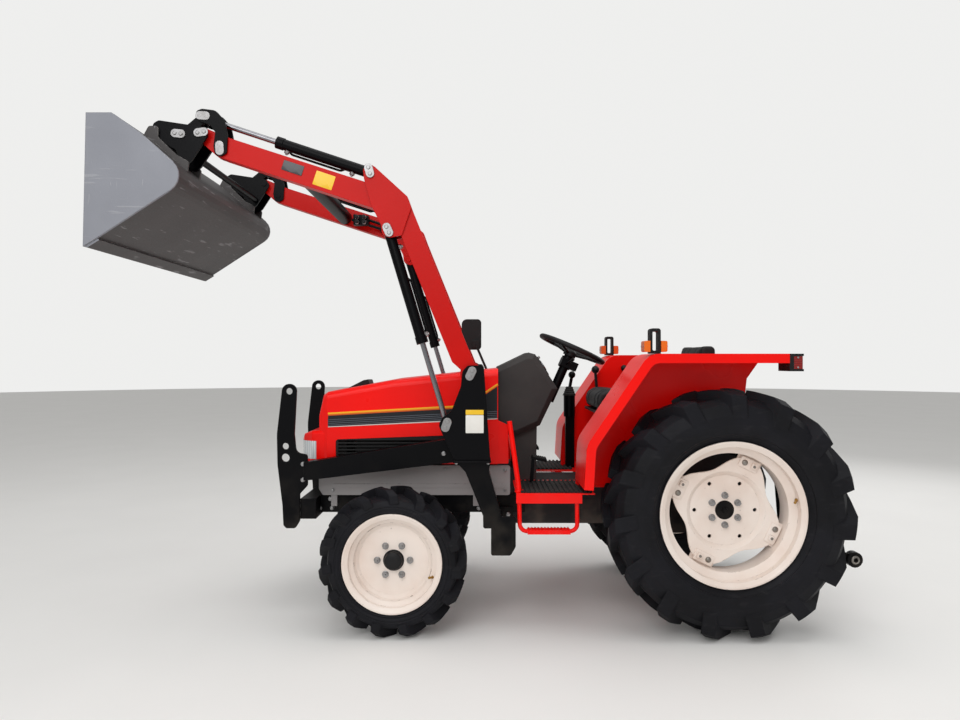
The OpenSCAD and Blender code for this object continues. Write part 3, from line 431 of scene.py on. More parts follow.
def raised(shape, faces, height):
    """Pulls faces up by height and gives back the new top's vertices."""
    grown = bmesh.ops.extrude_face_region(shape, geom=faces)["geom"]
    lifted = [v for v in grown if isinstance(v, bmesh.types.BMVert)]
    bmesh.ops.translate(shape, verts=lifted, vec=(0, 0, height))
    return lifted


def eased(shape, edges, width, segments=2):
    bmesh.ops.bevel(shape, geom=edges, offset=width, offset_type="OFFSET", segments=segments, profile=0.5,
                    affect="EDGES", material=-1, clamp_overlap=True)


def top_edges(shape, height):
    """The edges that lie at a height, such as the rim of a plate's upper face."""
    return [e for e in shape.edges if all(abs(v.co.z - height) < 1e-6 for v in e.verts)]


def turned(section, steps=32):
    """A tool turned on a lathe: a section of (radius, height) spun about Z."""
    shape = bmesh.new()
    chain = [shape.verts.new((r, 0, h)) for r, h in section]
    line = [shape.edges.new(pair) for pair in zip(chain, chain[1:])]
    bmesh.ops.spin(shape, geom=chain + line, cent=(0, 0, 0), axis=(0, 0, 1), angle=2 * pi, steps=steps,
                   use_merge=True)
    return shape


def slab(length, width, thick, corner, ease=0.0):
    """A flat plate with corners of a given radius and an eased upper rim."""
    shape = bmesh.new()
    bmesh.ops.create_grid(shape, x_segments=1, y_segments=1, size=0.5)
    bmesh.ops.scale(shape, vec=(length, width, 1), verts=shape.verts)
    bmesh.ops.bevel(shape, geom=shape.verts[:], offset=corner * cos(pi / 4), offset_type="OFFSET", segments=6,
                    profile=0.5, affect="VERTICES", material=-1)
    raised(shape, shape.faces[:], thick)
    if ease:
        eased(shape, top_edges(shape, thick), ease)
    return shape


def kept(shape):
    """Closes a tool's seams and keeps it as a mesh to stamp."""
    bmesh.ops.remove_doubles(shape, verts=shape.verts, dist=1e-6)
    bmesh.ops.recalc_face_normals(shape, faces=shape.faces)
    mesh = bpy.data.meshes.new("tool")
    shape.to_mesh(mesh)
    shape.free()
    return mesh


def stamp(shape, tool, spot, out, along=None):
    """Adds a copy of a tool at spot, its Z axis along out and its X axis along along."""
    out = Vector(out).normalized()
    along = Vector(along) if along else out.orthogonal()
    along = (along - out * out.dot(along)).normalized()
    turn = Matrix((along, out.cross(along), out)).transposed().to_4x4()
    turn.translation = spot
    placed = tool.copy()
    placed.transform(turn)
    shape.from_mesh(placed)
    bpy.data.meshes.remove(placed)


def piece(name, shape, body, look, crease=38):
    """Makes a shape a named piece that rides on a body."""
    mesh = bpy.data.meshes.new(name)
    shape.to_mesh(mesh)
    shape.free()
    mesh.shade_smooth()
    mesh.set_sharp_from_angle(angle=radians(crease))
    mesh.materials.append(FINISH[look])
    thing = bpy.data.objects.new(name, mesh)
    scene.collection.objects.link(thing)
    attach(thing, body)
    print(name, "faces:", len(mesh.polygons))
    return thing


LEFT, RIGHT = 1, -1
SIDES = {"left": LEFT, "right": RIGHT}

# %% [markdown]
# Hex bolts hold almost everything here. Each is a six-sided prism whose top rim is bevelled, as a real head is
# chamfered, standing on a turned washer. Two sizes do for the whole tractor.

# %% Bolt and nut tools
def hex_bolt(across, head, stud=0.0):
    shape = bmesh.new()
    bmesh.ops.create_cone(shape, cap_ends=True, segments=6, radius1=across * 0.577, radius2=across * 0.577,
                          depth=head, matrix=Matrix.Translation((0, 0, head / 2 + 0.002)))
    eased(shape, top_edges(shape, head + 0.002), across * 0.08)
    washer = kept(turned([(0, 0), (across * 0.66, 0), (across * 0.66, 0.0018), (across * 0.6, 0.0026),
                         (0, 0.0026)], 20))
    shape.from_mesh(washer)
    if stud:
        end = head + 0.002
        shape.from_mesh(kept(turned([(0, end), (across * 0.3, end), (across * 0.3, end + stud * 0.8),
                                     (across * 0.24, end + stud), (0, end + stud)], 14)))
    return kept(shape)


BOLT = hex_bolt(0.017, 0.009)
SMALL_BOLT = hex_bolt(0.012, 0.006)
WHEEL_NUT = hex_bolt(0.024, 0.016, 0.009)
print("bolt faces:", len(BOLT.polygons))

# %% [markdown]
# Wheel hardware. The rear disc carries six nuts round its middle hole and four clamp plates, one on each arm,
# that hold it to the rim, each with a square nut and a round-headed bolt. The front discs have six nuts and a
# black hub cap. Tyre valves are brass. Turned shapes come from one spun section, and each is stamped in place.

# %% Wheel nuts, clamps, caps and valves
CLAMP = kept(slab(0.092, 0.05, 0.006, 0.008, 0.0015))
STUD_END = kept(turned([(0, 0.005), (0.0052, 0.0045), (0.0065, 0.002), (0.0065, -0.002)], 16))
SQUARE_NUT = kept(slab(0.024, 0.024, 0.012, 0.002, 0.0012))
ROUND_HEAD = kept(turned([(0, 0.009), (0.006, 0.0084), (0.011, 0.0058), (0.0135, 0.0015), (0.0135, 0), (0, 0)], 24))
HUB_CAP = kept(turned([(0, 0.030), (0.012, 0.0298), (0.030, 0.028), (0.039, 0.023), (0.042, 0.015), (0.043, 0.004),
                       (0.048, 0.003), (0.048, 0), (0, 0)], 40))
VALVE = kept(turned([(0, 0), (0.008, 0), (0.008, 0.006), (0.0055, 0.009), (0.0045, 0.026), (0.006, 0.027),
                     (0.006, 0.036), (0.004, 0.038), (0, 0.038)], 16))
HUB_BORE = kept(turned([(0, 0), (0.044, 0), (0.046, 0.002), (0.046, 0.0075), (0.038, 0.0085), (0.014, 0.0085),
                        (0.012, 0.014), (0, 0.014)], 36))


def around(hub, y, radius, degrees):
    """A point on a wheel's face, at an angle from forward towards up."""
    return at(hub[0] + radius * cos(radians(degrees)), y, hub[1] + radius * sin(radians(degrees)))


for name, s in SIDES.items():
    out = (0, s, 0)
    nuts, plates, rods, stem, bore = [bmesh.new() for _ in range(5)]
    for k in range(6):
        stamp(nuts, WHEEL_NUT, around(REAR_HUB, s * 497, 68, 30 + 60 * k), out)
    for k in range(4):
        turn = 26 + 90 * k
        tangent = Vector((-sin(radians(turn)), 0, cos(radians(turn))))
        middle = around(REAR_HUB, s * 517, 236, turn)
        stamp(plates, CLAMP, middle, out, tangent)
        face = middle + Vector((0, s * 0.006, 0))
        stamp(plates, SQUARE_NUT, face + tangent * 0.022, out, tangent)
        stamp(rods, ROUND_HEAD, face - tangent * 0.022, out)
        stamp(rods, STUD_END, face + tangent * 0.022 + Vector((0, s * 0.012, 0)), out)
    stamp(stem, VALVE, around(REAR_HUB, s * 580, 300, 168), Vector((0.55 * 0.98, 0.84 * s, -0.2)))
    stamp(bore, HUB_BORE, around(REAR_HUB, s * 488, 0, 0), out)
    piece(f"rear_wheel_nuts_{name}", nuts, f"rear_wheel_{name}", "zinc")
    piece(f"rear_clamp_bolts_{name}", rods, f"rear_wheel_{name}", "bare_steel")
    piece(f"rear_clamps_{name}", plates, f"rear_wheel_{name}", "cream_paint")
    piece(f"rear_valve_{name}", stem, f"rear_wheel_{name}", "brass")
    piece(f"rear_hub_bore_{name}", bore, f"rear_wheel_{name}", "black_paint")
    nuts, cap, stem = bmesh.new(), bmesh.new(), bmesh.new()
    for k in range(6):
        stamp(nuts, WHEEL_NUT, around(FRONT_HUB, s * 520, 75, 60 * k), out)
    stamp(cap, HUB_CAP, around(FRONT_HUB, s * 520, 0, 0), out)
    stamp(stem, VALVE, around(FRONT_HUB, s * 556, 196, 200), Vector((0.5, 0.86 * s, 0.17)))
    piece(f"front_wheel_nuts_{name}", nuts, f"front_wheel_{name}", "zinc")
    piece(f"front_hub_cap_{name}", cap, f"front_wheel_{name}", "black_plastic")
    piece(f"front_valve_{name}", stem, f"front_wheel_{name}", "brass")

# %% [markdown]
# Loader pins are kept from turning by flags: small oblong zinc plates over the pin's end, with a bolt in each
# half. A disc whose two halves are pulled apart is oblong with truly round ends. Each is as thick as its pin
# stands proud, and on the bell crank that is thin, because the bucket's carriers sweep past close by.

# %% Pin flags
def oblong(length, width, thick, ease):
    shape = bmesh.new()
    steps = 36
    bmesh.ops.create_circle(shape, cap_ends=True, segments=steps, radius=width / 2,
                            matrix=Matrix.Rotation(pi / steps, 4, "Z"))
    for way in (-1, 1):
        half = [v for v in shape.verts if v.co.x * way > 0]
        bmesh.ops.translate(shape, verts=half, vec=(way * (length - width) / 2, 0, 0))
    raised(shape, shape.faces[:], thick)
    eased(shape, top_edges(shape, thick), ease)
    return shape


def flag(thick, head):
    shape = oblong(0.066, 0.039, thick, 0.0009)
    for spot in (-0.0145, 0.0145):
        knob = kept(turned([(0, 0), (0.0088, 0), (0.0088, head * 0.7), (0.007, head), (0, head)], 20))
        stamp(shape, knob, Vector((spot, 0, thick)), (0, 0, 1))
    return kept(shape)


FLAGS = {"chassis": flag(0.0088, 0.004), "boom": flag(0.0088, 0.004), "bell_cranks": flag(0.0032, 0.0003),
         "bucket": flag(0.0066, 0.004)}
LIFT_FOOT, LIFT_EYE = (1279, 954), (1547, 1845)
TILT_EYE, TILT_TIP = (1632, 2116), (2394, 2368)
PINS = {"chassis": [(1167, 1188, 520, 64), (*LIFT_FOOT, 520, 70)],
        "boom": [(*TILT_EYE, 513, 106), (*LIFT_EYE, 513, 114)],
        "bell_cranks": [(2317, 2220, 516, 94), (*TILT_TIP, 516, 176)],
        "bucket": [(2395, 2286, 532, 8), (2499, 2280, 532, 174)]}
for body, pins in PINS.items():
    flags = bmesh.new()
    for x, z, y, turn in pins:
        for s in (LEFT, RIGHT):
            stamp(flags, FLAGS[body], at(x, s * y, z), (0, s, 0), (-cos(radians(turn)), 0, sin(radians(turn))))
    piece(f"pin_flags_{body}", flags, body, "zinc", 20)

# %% [markdown]
# Bolts of the frame: where the guards meet the side beams, along the rails, at the tower feet and on the
# engine's side panels. Their places were read from the photo and laid on the faces of the CAD solids.

# %% Frame bolts
bolts = bmesh.new()
PLACES = [(1985, 317, 745), (1985, 317, 668), (1930, 196, 505), (1869, 196, 508), (1878, 196, 553), (985, 212, 478),
          (1012, 212, 452), (1132, 196, 506), (1300, 350, 800), (1262, 350, 840)]
for x, y, z in PLACES:
    for s in (LEFT, RIGHT):
        stamp(bolts, BOLT, at(x, s * y, z), (0, s, 0), (0, 0, 1))
for x, z in ((1000, 700), (1300, 706), (1620, 706), (1870, 700), (1000, 600), (1860, 602)):
    for s in (LEFT, RIGHT):
        stamp(bolts, SMALL_BOLT, at(x, s * 220, z), (0, s, 0), (0, 0, 1))
piece("frame_bolts", bolts, "chassis", "zinc")

# %% [markdown]
# The tower stands on a bolted flange: two thick plates whose bolts point down. In the photo the lower plate's
# bright edge is a good landmark, so it is its own piece.

# %% Tower flanges
flanges, hanging = bmesh.new(), bmesh.new()
FLANGE = kept(slab(0.172, 0.128, 0.008, 0.01, 0.0012))
for s in (LEFT, RIGHT):
    stamp(flanges, FLANGE, at(1161, s * 470, 781), (0, 0, 1), (1, 0, 0))
    for x in (1088, 1234):
        for y in (416, 524):
            stamp(hanging, SMALL_BOLT, at(x, s * y, 781), (0, 0, -1))
piece("tower_flanges", flanges, "chassis", "black_paint")
piece("tower_flange_bolts", hanging, "chassis", "zinc")

# %% [markdown]
# Stickers are thin plates with rounded corners, each in one plain colour. The one on the tower is white under a
# yellow head, the arm has a yellow one, and a dark plate sits beside it.

# %% Blank labels
def sticker_look(name, colour, shade):
    f = finish(name)
    f.close(Base_Color=f.mix(f.noise(14, 4), colour, shade), Roughness=0.36 + 0.12 * f.noise(60, 3), Coat_Weight=0.3)


sticker_look("label_white", screen(236, 234, 228), screen(222, 219, 212))
sticker_look("label_yellow", screen(246, 200, 20), screen(236, 186, 14))
sticker_look("label_dark", screen(62, 62, 66), screen(52, 52, 56))
LABELS = [("tower_label", "label_white", (0.082, 0.082, 0.0006), at(1150, 520, 957), 0, "chassis"),
          ("tower_label_head", "label_yellow", (0.082, 0.022, 0.0006), at(1150, 520, 1011), 0, "chassis"),
          ("arm_plate", "label_dark", (0.098, 0.046, 0.003), at(1985, 503, 2132), 18.4, "boom"),
          ("arm_sticker", "label_yellow", (0.092, 0.066, 0.0006), at(1842, 503, 2075), 18.4, "boom")]
for name, look, (length, width, thick), spot, turn, body in LABELS:
    label = bmesh.new()
    stamp(label, kept(slab(length, width, thick, 0.004, thick * 0.3)), spot, (0, 1, 0),
          (cos(radians(turn)), 0, sin(radians(turn))))
    piece(name, label, body, look)

# %% [markdown]
# The driver's floor has a ribbed rubber mat on each side. A grid whose every second strip is pulled up makes
# the ribs, and a narrow bevel rounds them.

# %% Floor mats
def ribbed(length, width, base, rib, count):
    shape = bmesh.new()
    bmesh.ops.create_grid(shape, x_segments=2 * count + 1, y_segments=1, size=0.5)
    bmesh.ops.scale(shape, vec=(length, width, 1), verts=shape.verts)
    strips = sorted(shape.faces, key=lambda face: face.calc_center_median().x)
    bottom = bmesh.ops.extrude_face_region(shape, geom=strips, use_keep_orig=True)["geom"]
    bmesh.ops.translate(shape, verts=[v for v in bottom if isinstance(v, bmesh.types.BMVert)], vec=(0, 0, base))
    raised_faces = sorted([g for g in bottom if isinstance(g, bmesh.types.BMFace)],
                          key=lambda face: face.calc_center_median().x)[::2]
    grown = bmesh.ops.extrude_discrete_faces(shape, faces=raised_faces)["faces"]
    bmesh.ops.translate(shape, verts=list({v for face in grown for v in face.verts}), vec=(0, 0, rib))
    eased(shape, top_edges(shape, base + rib), rib * 0.35)
    return kept(shape)


mats = bmesh.new()
MAT = ribbed(0.326, 0.318, 0.004, 0.006, 14)
for s in (LEFT, RIGHT):
    stamp(mats, MAT, at(775, s * 350, 640.2), (0, 0, 1), (1, 0, 0))
piece("floor_mats", mats, "chassis", "rubber_mat")
treads = bmesh.new()
TREAD = ribbed(0.19, 0.048, 0.001, 0.004, 12)
for s in (LEFT, RIGHT):
    stamp(treads, TREAD, at(810, s * 500, 472), (0, 0, 1), (1, 0, 0))
piece("step_treads", treads, "chassis", "red_paint")

# %% [markdown]
# The seat is foam under vinyl. A shape a little smaller than the CAD solid is remeshed, blown up as cloth with
# its underside pinned, and held back where it has moved too far. Sewn channels are pressed in afterwards. Cloth
# gives the soft bulge between the seams that a bevelled block never has.

# %% Seat cushions
SWELL_STEPS, SEAM_WIDTH = 20, 0.007


def applied(thing):
    """Makes a piece's modifiers part of its mesh."""
    result = bpy.data.meshes.new_from_object(thing.evaluated_get(bpy.context.evaluated_depsgraph_get()))
    thing.modifiers.clear()
    thing.data = result
    thing.data.shade_smooth()


def foam(name, outline, half, cap, channels, node):
    """outline is the side view in millimetres ahead of the rear axle and up."""
    shape = bmesh.new()
    ring = [shape.verts.new(at(x, -half, z)) for x, z in outline]
    pulled = bmesh.ops.extrude_face_region(shape, geom=[shape.faces.new(ring)])["geom"]
    bmesh.ops.translate(shape, verts=[v for v in pulled if isinstance(v, bmesh.types.BMVert)],
                        vec=(0, half / 500, 0))
    eased(shape, shape.edges[:], 0.018, 3)
    bmesh.ops.recalc_face_normals(shape, faces=shape.faces)
    pad = piece(name, shape, "chassis", "seat_vinyl", 80)
    remesh = pad.modifiers.new("even_skin", "REMESH")
    remesh.mode, remesh.voxel_size = "VOXEL", 0.008
    applied(pad)
    rest = [v.co.copy() for v in pad.data.vertices]
    low = min(p.z for p in rest)
    held = pad.vertex_groups.new(name="held")
    held.add([i for i, p in enumerate(rest) if p.z < low + 0.012], 1.0, "REPLACE")
    cloth = pad.modifiers.new("swell", "CLOTH")
    cloth.settings.use_pressure, cloth.settings.uniform_pressure_force = True, 4.0
    cloth.settings.effector_weights.gravity = 0
    cloth.settings.vertex_group_mass = "held"
    cloth.point_cache.frame_start, cloth.point_cache.frame_end = 1, SWELL_STEPS
    for step in range(1, SWELL_STEPS + 1):
        scene.frame_set(step)
    applied(pad)
    scene.frame_set(1)
    for v, start in zip(pad.data.vertices, rest):
        move = v.co - start
        v.co = start + move * min(1.0, cap / max(move.length, 1e-9))
        for direction, spot, depth in channels:
            reach = v.co.dot(Vector(direction)) - spot
            v.co -= v.normal * depth * exp(-(reach / SEAM_WIDTH) ** 2)
    pad.modifiers.new("smooth_skin", "SUBSURF").levels = 1
    pad.modifiers["smooth_skin"].render_levels = 1
    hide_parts(node)
    print(name, "points:", len(rest))
    return pad


foam("seat_pad", [(72, 996), (524, 996), (550, 1040), (540, 1082), (494, 1092), (72, 1068)], 203, 0.012,
     [((0, 1, 0), 0.1, 0.007), ((0, 1, 0), -0.1, 0.007), ((1, 0, 0), -0.66, 0.006)], "seat_cushion")
foam("seat_rest", [(46, 996), (46, 1090), (0, 1329), (-58, 1329), (-68, 1310), (-20, 1040), (2, 996)], 188, 0.012,
     [((0, 1, 0), 0.095, 0.006), ((0, 1, 0), -0.095, 0.006), ((0, 0, 1), 1.24, 0.005)], "seat_back")

# %% [markdown]
# The mirror hangs on its stalk at the right. Its glass is a thin slab with round corners, a little smaller than
# the housing, so that a black rim stays round it. It is its own piece because it has its own finish.

# %% Mirror glass
glass = bmesh.new()
stamp(glass, kept(slab(0.094, 0.148, 0.002, 0.02, 0.0006)), at(1174, -292, 1395), (0, -1, 0), (1, 0, 0))
piece("mirror_face", glass, "chassis", "mirror_glass")

# %% [markdown]
# Rigid oil pipes run along each cylinder from a union near its eye to one at its gland, as on most loaders. A
# pipe is a line of points whose corners a vertex bevel rounds; a curve then gives that line its thickness.

# %% Unions and pipes on the cylinders
def bent(points, radius, bend):
    """A pipe through points, in metres, with eased corners."""
    path = bmesh.new()
    corners = [path.verts.new(p) for p in points]
    for pair in zip(corners, corners[1:]):
        path.edges.new(pair)
    bmesh.ops.bevel(path, geom=corners[1:-1], offset=bend, offset_type="OFFSET", segments=6, profile=0.5,
                    affect="VERTICES", material=-1)
    step = next(v for v in path.verts if len(v.link_edges) == 1 and (v.co - Vector(points[0])).length < 1e-6)
    line, used = [step.co.copy()], {step}
    while True:
        ahead = [e.other_vert(step) for e in step.link_edges if e.other_vert(step) not in used]
        if not ahead:
            break
        step = ahead[0]
        used.add(step)
        line.append(step.co.copy())
    path.free()
    curve = bpy.data.curves.new("pipe", "CURVE")
    curve.dimensions, curve.bevel_depth, curve.bevel_resolution, curve.use_fill_caps = "3D", radius, 3, True
    spline = curve.splines.new("POLY")
    spline.points.add(len(line) - 1)
    for point, spot in zip(spline.points, line):
        point.co = (*spot, 1)
    return bpy.data.meshes.new_from_object(bpy.data.objects.new("pipe", curve))


UNION = hex_bolt(0.021, 0.011, 0.006)
CYLINDER_Y = 0.470
CYLINDERS = {"lift_barrels": (LIFT_EYE, LIFT_FOOT, 0.505), "tilt_barrels": (TILT_EYE, TILT_TIP, 0.400)}
for body, (eye, far, gland) in CYLINDERS.items():
    eye, far = [at(x, 0, z) for x, z in (eye, far)]
    along = (far - eye).normalized()
    up = Vector((along.z, 0, -along.x))
    unions, pipes = bmesh.new(), bmesh.new()
    for s in (LEFT, RIGHT):
        start = eye + along * 0.082 + Vector((0, CYLINDER_Y * s, 0))
        end = eye + along * gland + Vector((0, CYLINDER_Y * s, 0))
        for spot in (start, end):
            stamp(unions, UNION, spot + up * 0.0235, up)
        rise = end + Vector((0, 0.012 * -s, 0))
        pipes.from_mesh(bent([rise + up * 0.015, rise + up * 0.031 - along * 0.02, rise + up * 0.031 - along * 0.26,
                              rise + up * 0.015 - along * 0.28], 0.0055, 0.008))
    piece(f"{body}_unions", unions, body, "zinc")
    piece(f"{body}_pipes", pipes, body, "black_paint")

# %% [markdown]
# Oil reaches the bucket's cylinders through quick couplers on the right arm's valve block. Each is a turned
# sleeve with a grooved collar and a black dust cap, four in two rows on the block's inner face.

# %% Quick couplers
SLEEVE = kept(turned([(0, 0), (0.0105, 0), (0.0105, 0.010), (0.0125, 0.011), (0.0125, 0.016), (0.0115, 0.0175),
                      (0.0125, 0.019), (0.0125, 0.024), (0.010, 0.026), (0.010, 0.030), (0, 0.030)], 26))
DUST_CAP = kept(turned([(0, 0.012), (0.009, 0.0115), (0.0115, 0.009), (0.0118, 0), (0, 0)], 26))
sleeves, caps = bmesh.new(), bmesh.new()
for x in (1796, 1838):
    for z in (2049, 2077):
        stamp(sleeves, SLEEVE, at(x, -361.2, z), (0, 1, 0))
        stamp(caps, DUST_CAP, at(x, -331.4, z), (0, 1, 0))
piece("oil_couplers", sleeves, "boom", "zinc")
piece("coupler_caps", caps, "boom", "black_plastic")

# %% [markdown]
# The instruments sit on the cowl's sloped rear face: a moulded panel with one large dial between two small
# ones, a row of lights and the key. Ticks and needles are thin plates, laid round each dial as they are
# printed on a real one. No figures are needed at this size.

# %% Instruments
def ring(inner, outer, height, steps=36):
    """A flat ring with an eased upper rim."""
    return kept(turned([(inner, 0), (outer, 0), (outer, height * 0.7), (outer - height * 0.3, height),
                        (inner + height * 0.3, height), (inner, height * 0.7), (inner, 0)], steps))


PANEL_OUT, ACROSS = Vector((-0.837, 0, 0.547)), Vector((0, 1, 0))
PANEL_UP = ACROSS.cross(PANEL_OUT) * -1


def on_panel(across, up, height=0.0):
    return at(807.5, 0, 1218.5) + ACROSS * across + PANEL_UP * up + PANEL_OUT * height


panel, bezels, dials, marks, needles = [bmesh.new() for _ in range(5)]
stamp(panel, kept(slab(0.29, 0.112, 0.006, 0.02, 0.003)), on_panel(0, 0), PANEL_OUT, ACROSS)
TICK, NEEDLE = kept(slab(0.005, 0.0014, 0.0004, 0.0002)), kept(slab(0.03, 0.002, 0.0012, 0.0008))
for across, size in ((0, 0.04), (0.085, 0.026), (-0.085, 0.026)):
    stamp(bezels, ring(size, size + 0.005, 0.006), on_panel(across, 0.002, 0.0055), PANEL_OUT)
    stamp(dials, kept(turned([(0, 0), (size, 0), (size, 0.002), (0, 0.002)], 36)), on_panel(across, 0.002, 0.0055),
          PANEL_OUT)
    for k in range(11):
        turn = radians(-45 + 27 * k)
        way = ACROSS * cos(turn) + PANEL_UP * sin(turn)
        stamp(marks, TICK, on_panel(across, 0.002, 0.0076) + way * (size - 0.006), PANEL_OUT, way)
    lean = ACROSS * 0.6 + PANEL_UP * 0.8
    stamp(needles, NEEDLE, on_panel(across, 0.002, 0.0078) + lean * 0.008, PANEL_OUT, lean)
LIGHT = kept(turned([(0, 0.003), (0.003, 0.0026), (0.005, 0.001), (0.005, 0), (0, 0)], 16))
for k in range(4):
    stamp(needles, LIGHT, on_panel(-0.125 + 0.012 * k, 0.044, 0.0058), PANEL_OUT)
key = bmesh.new()
stamp(key, ring(0.004, 0.012, 0.005), on_panel(-0.128, -0.036, 0.0058), PANEL_OUT)
stamp(key, kept(slab(0.03, 0.016, 0.003, 0.006, 0.001)), on_panel(-0.128, -0.036, 0.02), ACROSS, PANEL_OUT)
piece("gauge_panel", panel, "chassis", "black_plastic")
piece("gauge_bezels", bezels, "chassis", "rod_chrome")
piece("gauge_dials", dials, "chassis", "label_dark")
piece("gauge_marks", marks, "chassis", "label_white")
piece("gauge_needles", needles, "chassis", "amber_lens")
piece("ignition_key", key, "chassis", "zinc")

# %% [markdown]
# What hands and feet touch: a cap on the steering wheel's hub, a stalk on each side of the column, ribbed
# pads on the pedals and rubber bellows at the foot of each lever. Bellows are one zigzag section, turned.

# %% Controls
WHEEL_UP = Vector((-sin(radians(24)), 0, cos(radians(24))))
WHEEL = at(638, 0, 1308)
cap = bmesh.new()
stamp(cap, kept(turned([(0, 0.014), (0.01, 0.0137), (0.024, 0.011), (0.031, 0.006), (0.033, 0), (0, 0)], 36)),
      WHEEL - WHEEL_UP * 0.0182, WHEEL_UP)
stamp(cap, ring(0.015, 0.018, 0.002), WHEEL - WHEEL_UP * 0.0056, WHEEL_UP)
piece("steering_hub_cap", cap, "steering_wheel", "black_plastic")

stalks = bmesh.new()
STALK = kept(turned([(0, 0), (0.007, 0), (0.0055, 0.012), (0.004, 0.09), (0.006, 0.094), (0.0085, 0.104),
                     (0.008, 0.122), (0.004, 0.128), (0, 0.128)], 18))
for s in (LEFT, RIGHT):
    stamp(stalks, STALK, WHEEL - WHEEL_UP * 0.084 + Vector((0, 0.0455 * s, 0)), Vector((-0.16, s, 0.18)))
piece("column_stalks", stalks, "chassis", "black_plastic")

pads = bmesh.new()
PAD = ribbed(0.066, 0.064, 0.003, 0.003, 6)
for y in (-230, -310, 240):
    stamp(pads, PAD, at(832, y, 767.2), (-0.191, 0, 0.982), (1, 0, 0))
piece("pedal_pads", pads, "chassis", "rubber_mat")


def bellows(wide, narrow, height, folds):
    """A rubber boot: a zigzag that narrows upwards."""
    section = [(0, 0), (wide * 1.12, 0), (wide * 1.12, 0.003)]
    for k in range(2 * folds + 1):
        share = k / (2 * folds)
        section.append((wide + (narrow - wide) * share + (0.003 if k % 2 else 0), 0.003 + (height - 0.003) * share))
    return kept(turned(section + [(0, height)], 28))


boots = bmesh.new()
stamp(boots, bellows(0.023, 0.011, 0.05, 4), at(443, -290, 899.5), (0.086, 0, 0.996))
stamp(boots, bellows(0.018, 0.010, 0.036, 3), at(262, -296, 999.5), (0.196, 0, 0.981))
stamp(boots, bellows(0.034, 0.0165, 0.05, 4), at(617, -280, 1049), (0, 0, 1))
piece("lever_boots", boots, "chassis", "rubber_mat")

# %% [markdown]
# Round the back, the power take-off's stub is splined, inside a short plastic shield. The hitch arms end in
# steel balls, and pins with bright heads hold the lifting rods.

# %% Power take-off and hitch
splines, shield, steel = bmesh.new(), bmesh.new(), bmesh.new()
SPLINE = kept(slab(0.074, 0.007, 0.0045, 0.001, 0.001))
for k in range(6):
    way = Vector((0, cos(radians(60 * k)), sin(radians(60 * k))))
    stamp(splines, SPLINE, at(-248, 0, 560) + way * 0.0168, way, (1, 0, 0))
stamp(shield, kept(turned([(0.033, 0), (0.052, 0), (0.052, 0.005), (0.041, 0.008), (0.039, 0.06), (0.037, 0.062),
                           (0.034, 0.06), (0.033, 0)], 44)), at(-202, 0, 560), (-1, 0, 0))
BALL = kept(turned([(0.0112, 0), (0.021, 0), (0.0205, 0.004), (0.017, 0.007), (0.0112, 0.008), (0.0112, 0)], 32))
for s in (LEFT, RIGHT):
    for face in (1, -1):
        stamp(steel, BALL, at(-672, s * 345 + face * 17.8, 292), (0, face, 0))
    stamp(steel, ROUND_HEAD, at(-330, s * 281, 757), (0, s, 0))
    stamp(steel, ROUND_HEAD, at(-330, s * 361, 360), (0, s, 0))
piece("pto_splines", splines, "chassis", "bare_steel")
piece("pto_shield", shield, "chassis", "black_plastic")
piece("hitch_steel", steel, "chassis", "bare_steel")

# %% [markdown]
# Castings are joined by rows of bolts: down the transmission's flanges, round the take-off's boss, and on the
# caps of the front axle's upright pivots. The lower pivot caps turn with the knuckles, so they ride on those.

# %% Casting bolts and pivot caps
casting = bmesh.new()
for s in (LEFT, RIGHT):
    for z in range(425, 760, 55):
        stamp(casting, SMALL_BOLT, at(282, s * 185, z), (0, s, 0), (0, 0, 1))
        stamp(casting, SMALL_BOLT, at(-172, s * 185, z), (0, s, 0), (0, 0, 1))
    for z in (420, 500, 620, 730):
        stamp(casting, BOLT, at(-190, s * 160, z), (-1, 0, 0), (0, 0, 1))
for k in range(6):
    turn = radians(30 + 60 * k)
    stamp(casting, SMALL_BOLT, at(-202, 60 * cos(turn), 560 + 60 * sin(turn)), (-1, 0, 0), (0, 0, 1))
piece("casting_bolts", casting, "chassis", "bare_steel")

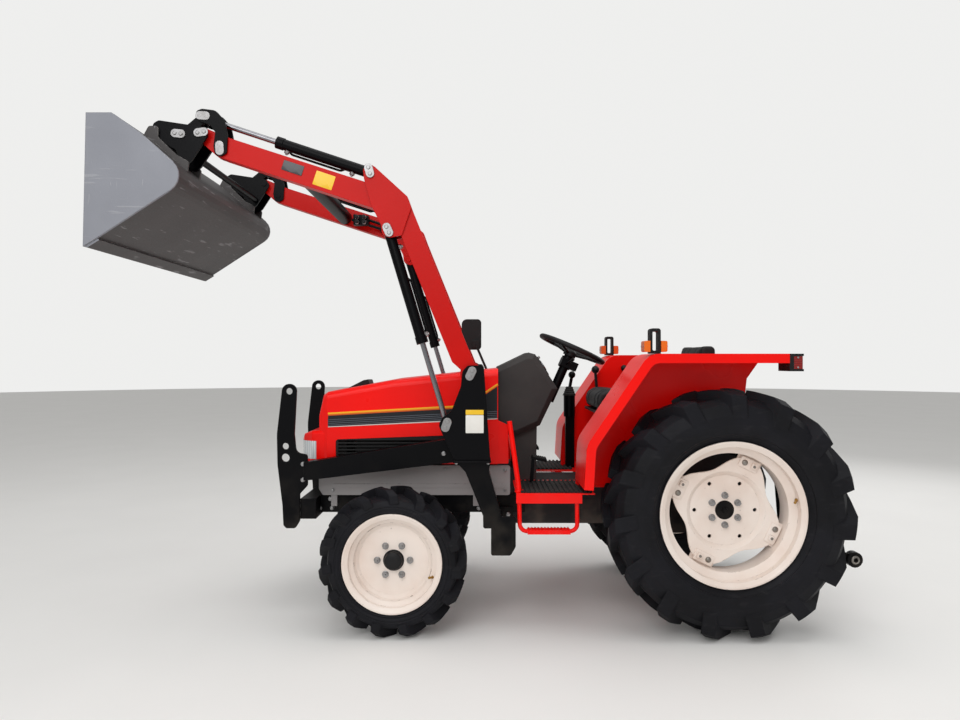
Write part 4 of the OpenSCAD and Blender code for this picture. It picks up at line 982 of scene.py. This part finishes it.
PIVOT_CAP = kept(turned([(0, 0.016), (0.024, 0.016), (0.028, 0.013), (0.03, 0.006), (0.053, 0.005),
                         (0.055, 0.003), (0.055, 0), (0, 0)], 40))
PIVOT_X, PIVOT_Y, PIVOT_BOLTS = FRONT_HUB[0], 388, 42
upper = bmesh.new()
for name, s in SIDES.items():
    lower = bmesh.new()
    for shape, z, out in ((upper, 454, 1), (lower, 266, -1)):
        stamp(shape, PIVOT_CAP, at(PIVOT_X, s * PIVOT_Y, z), (0, 0, out))
        for k in range(4):
            turn = radians(45 + 90 * k)
            spot = at(PIVOT_X + PIVOT_BOLTS * cos(turn), s * PIVOT_Y + PIVOT_BOLTS * sin(turn), z + 4.6 * out)
            stamp(shape, SMALL_BOLT, spot, (0, 0, out))
    piece(f"pivot_cap_lower_{name}", lower, f"knuckle_{name}", "cast_grey")
piece("pivot_caps_upper", upper, "chassis", "cast_grey")

# %% [markdown]
# Lamps are held by small round-headed screws, and the bucket is welded: a bead is a row of overlapping drops,
# laid along the joint between the rolled sheet and each side plate.

# %% Lamp screws and bucket welds
SCREW = kept(turned([(0, 0.0025), (0.002, 0.0024), (0.0042, 0.0012), (0.0048, 0), (0, 0)], 14))
screws = bmesh.new()
for s in (LEFT, RIGHT):
    for z in (1217, 1261):
        stamp(screws, SCREW, at(-284, s * 620, z), (0, s, 0))
    for x, out in ((392, 1), (288, -1)):
        for y in (536, 588):
            stamp(screws, SCREW, at(x, s * y, 1311), (out, 0, 0))
piece("lamp_screws", screws, "chassis", "zinc")

DROP = kept(turned([(0, 0.0022), (0.0022, 0.0019), (0.0042, 0.0006), (0.0046, 0)], 10))
welds = bmesh.new()
BEAD_STEP, SIDE_PLATE_Y = 0.006, 0.669
RUNS = [(2795, 1780, 2474, 1989), (2464, 2115, 2593, 2229), (2597, 2233, 2726, 2325)]
for x0, z0, x1, z1 in RUNS:
    start, end = at(x0, 0, z0), at(x1, 0, z1)
    way = (end - start).normalized()
    away = Vector((-way.z, 0, way.x))
    for k in range(int((end - start).length / BEAD_STEP)):
        for s in (LEFT, RIGHT):
            spot = start + way * (BEAD_STEP * k) + Vector((0, SIDE_PLATE_Y * s, 0)) - away * 0.0004
            stamp(welds, DROP, spot, away, way)
piece("bucket_welds", welds, "bucket", "bucket_grey")
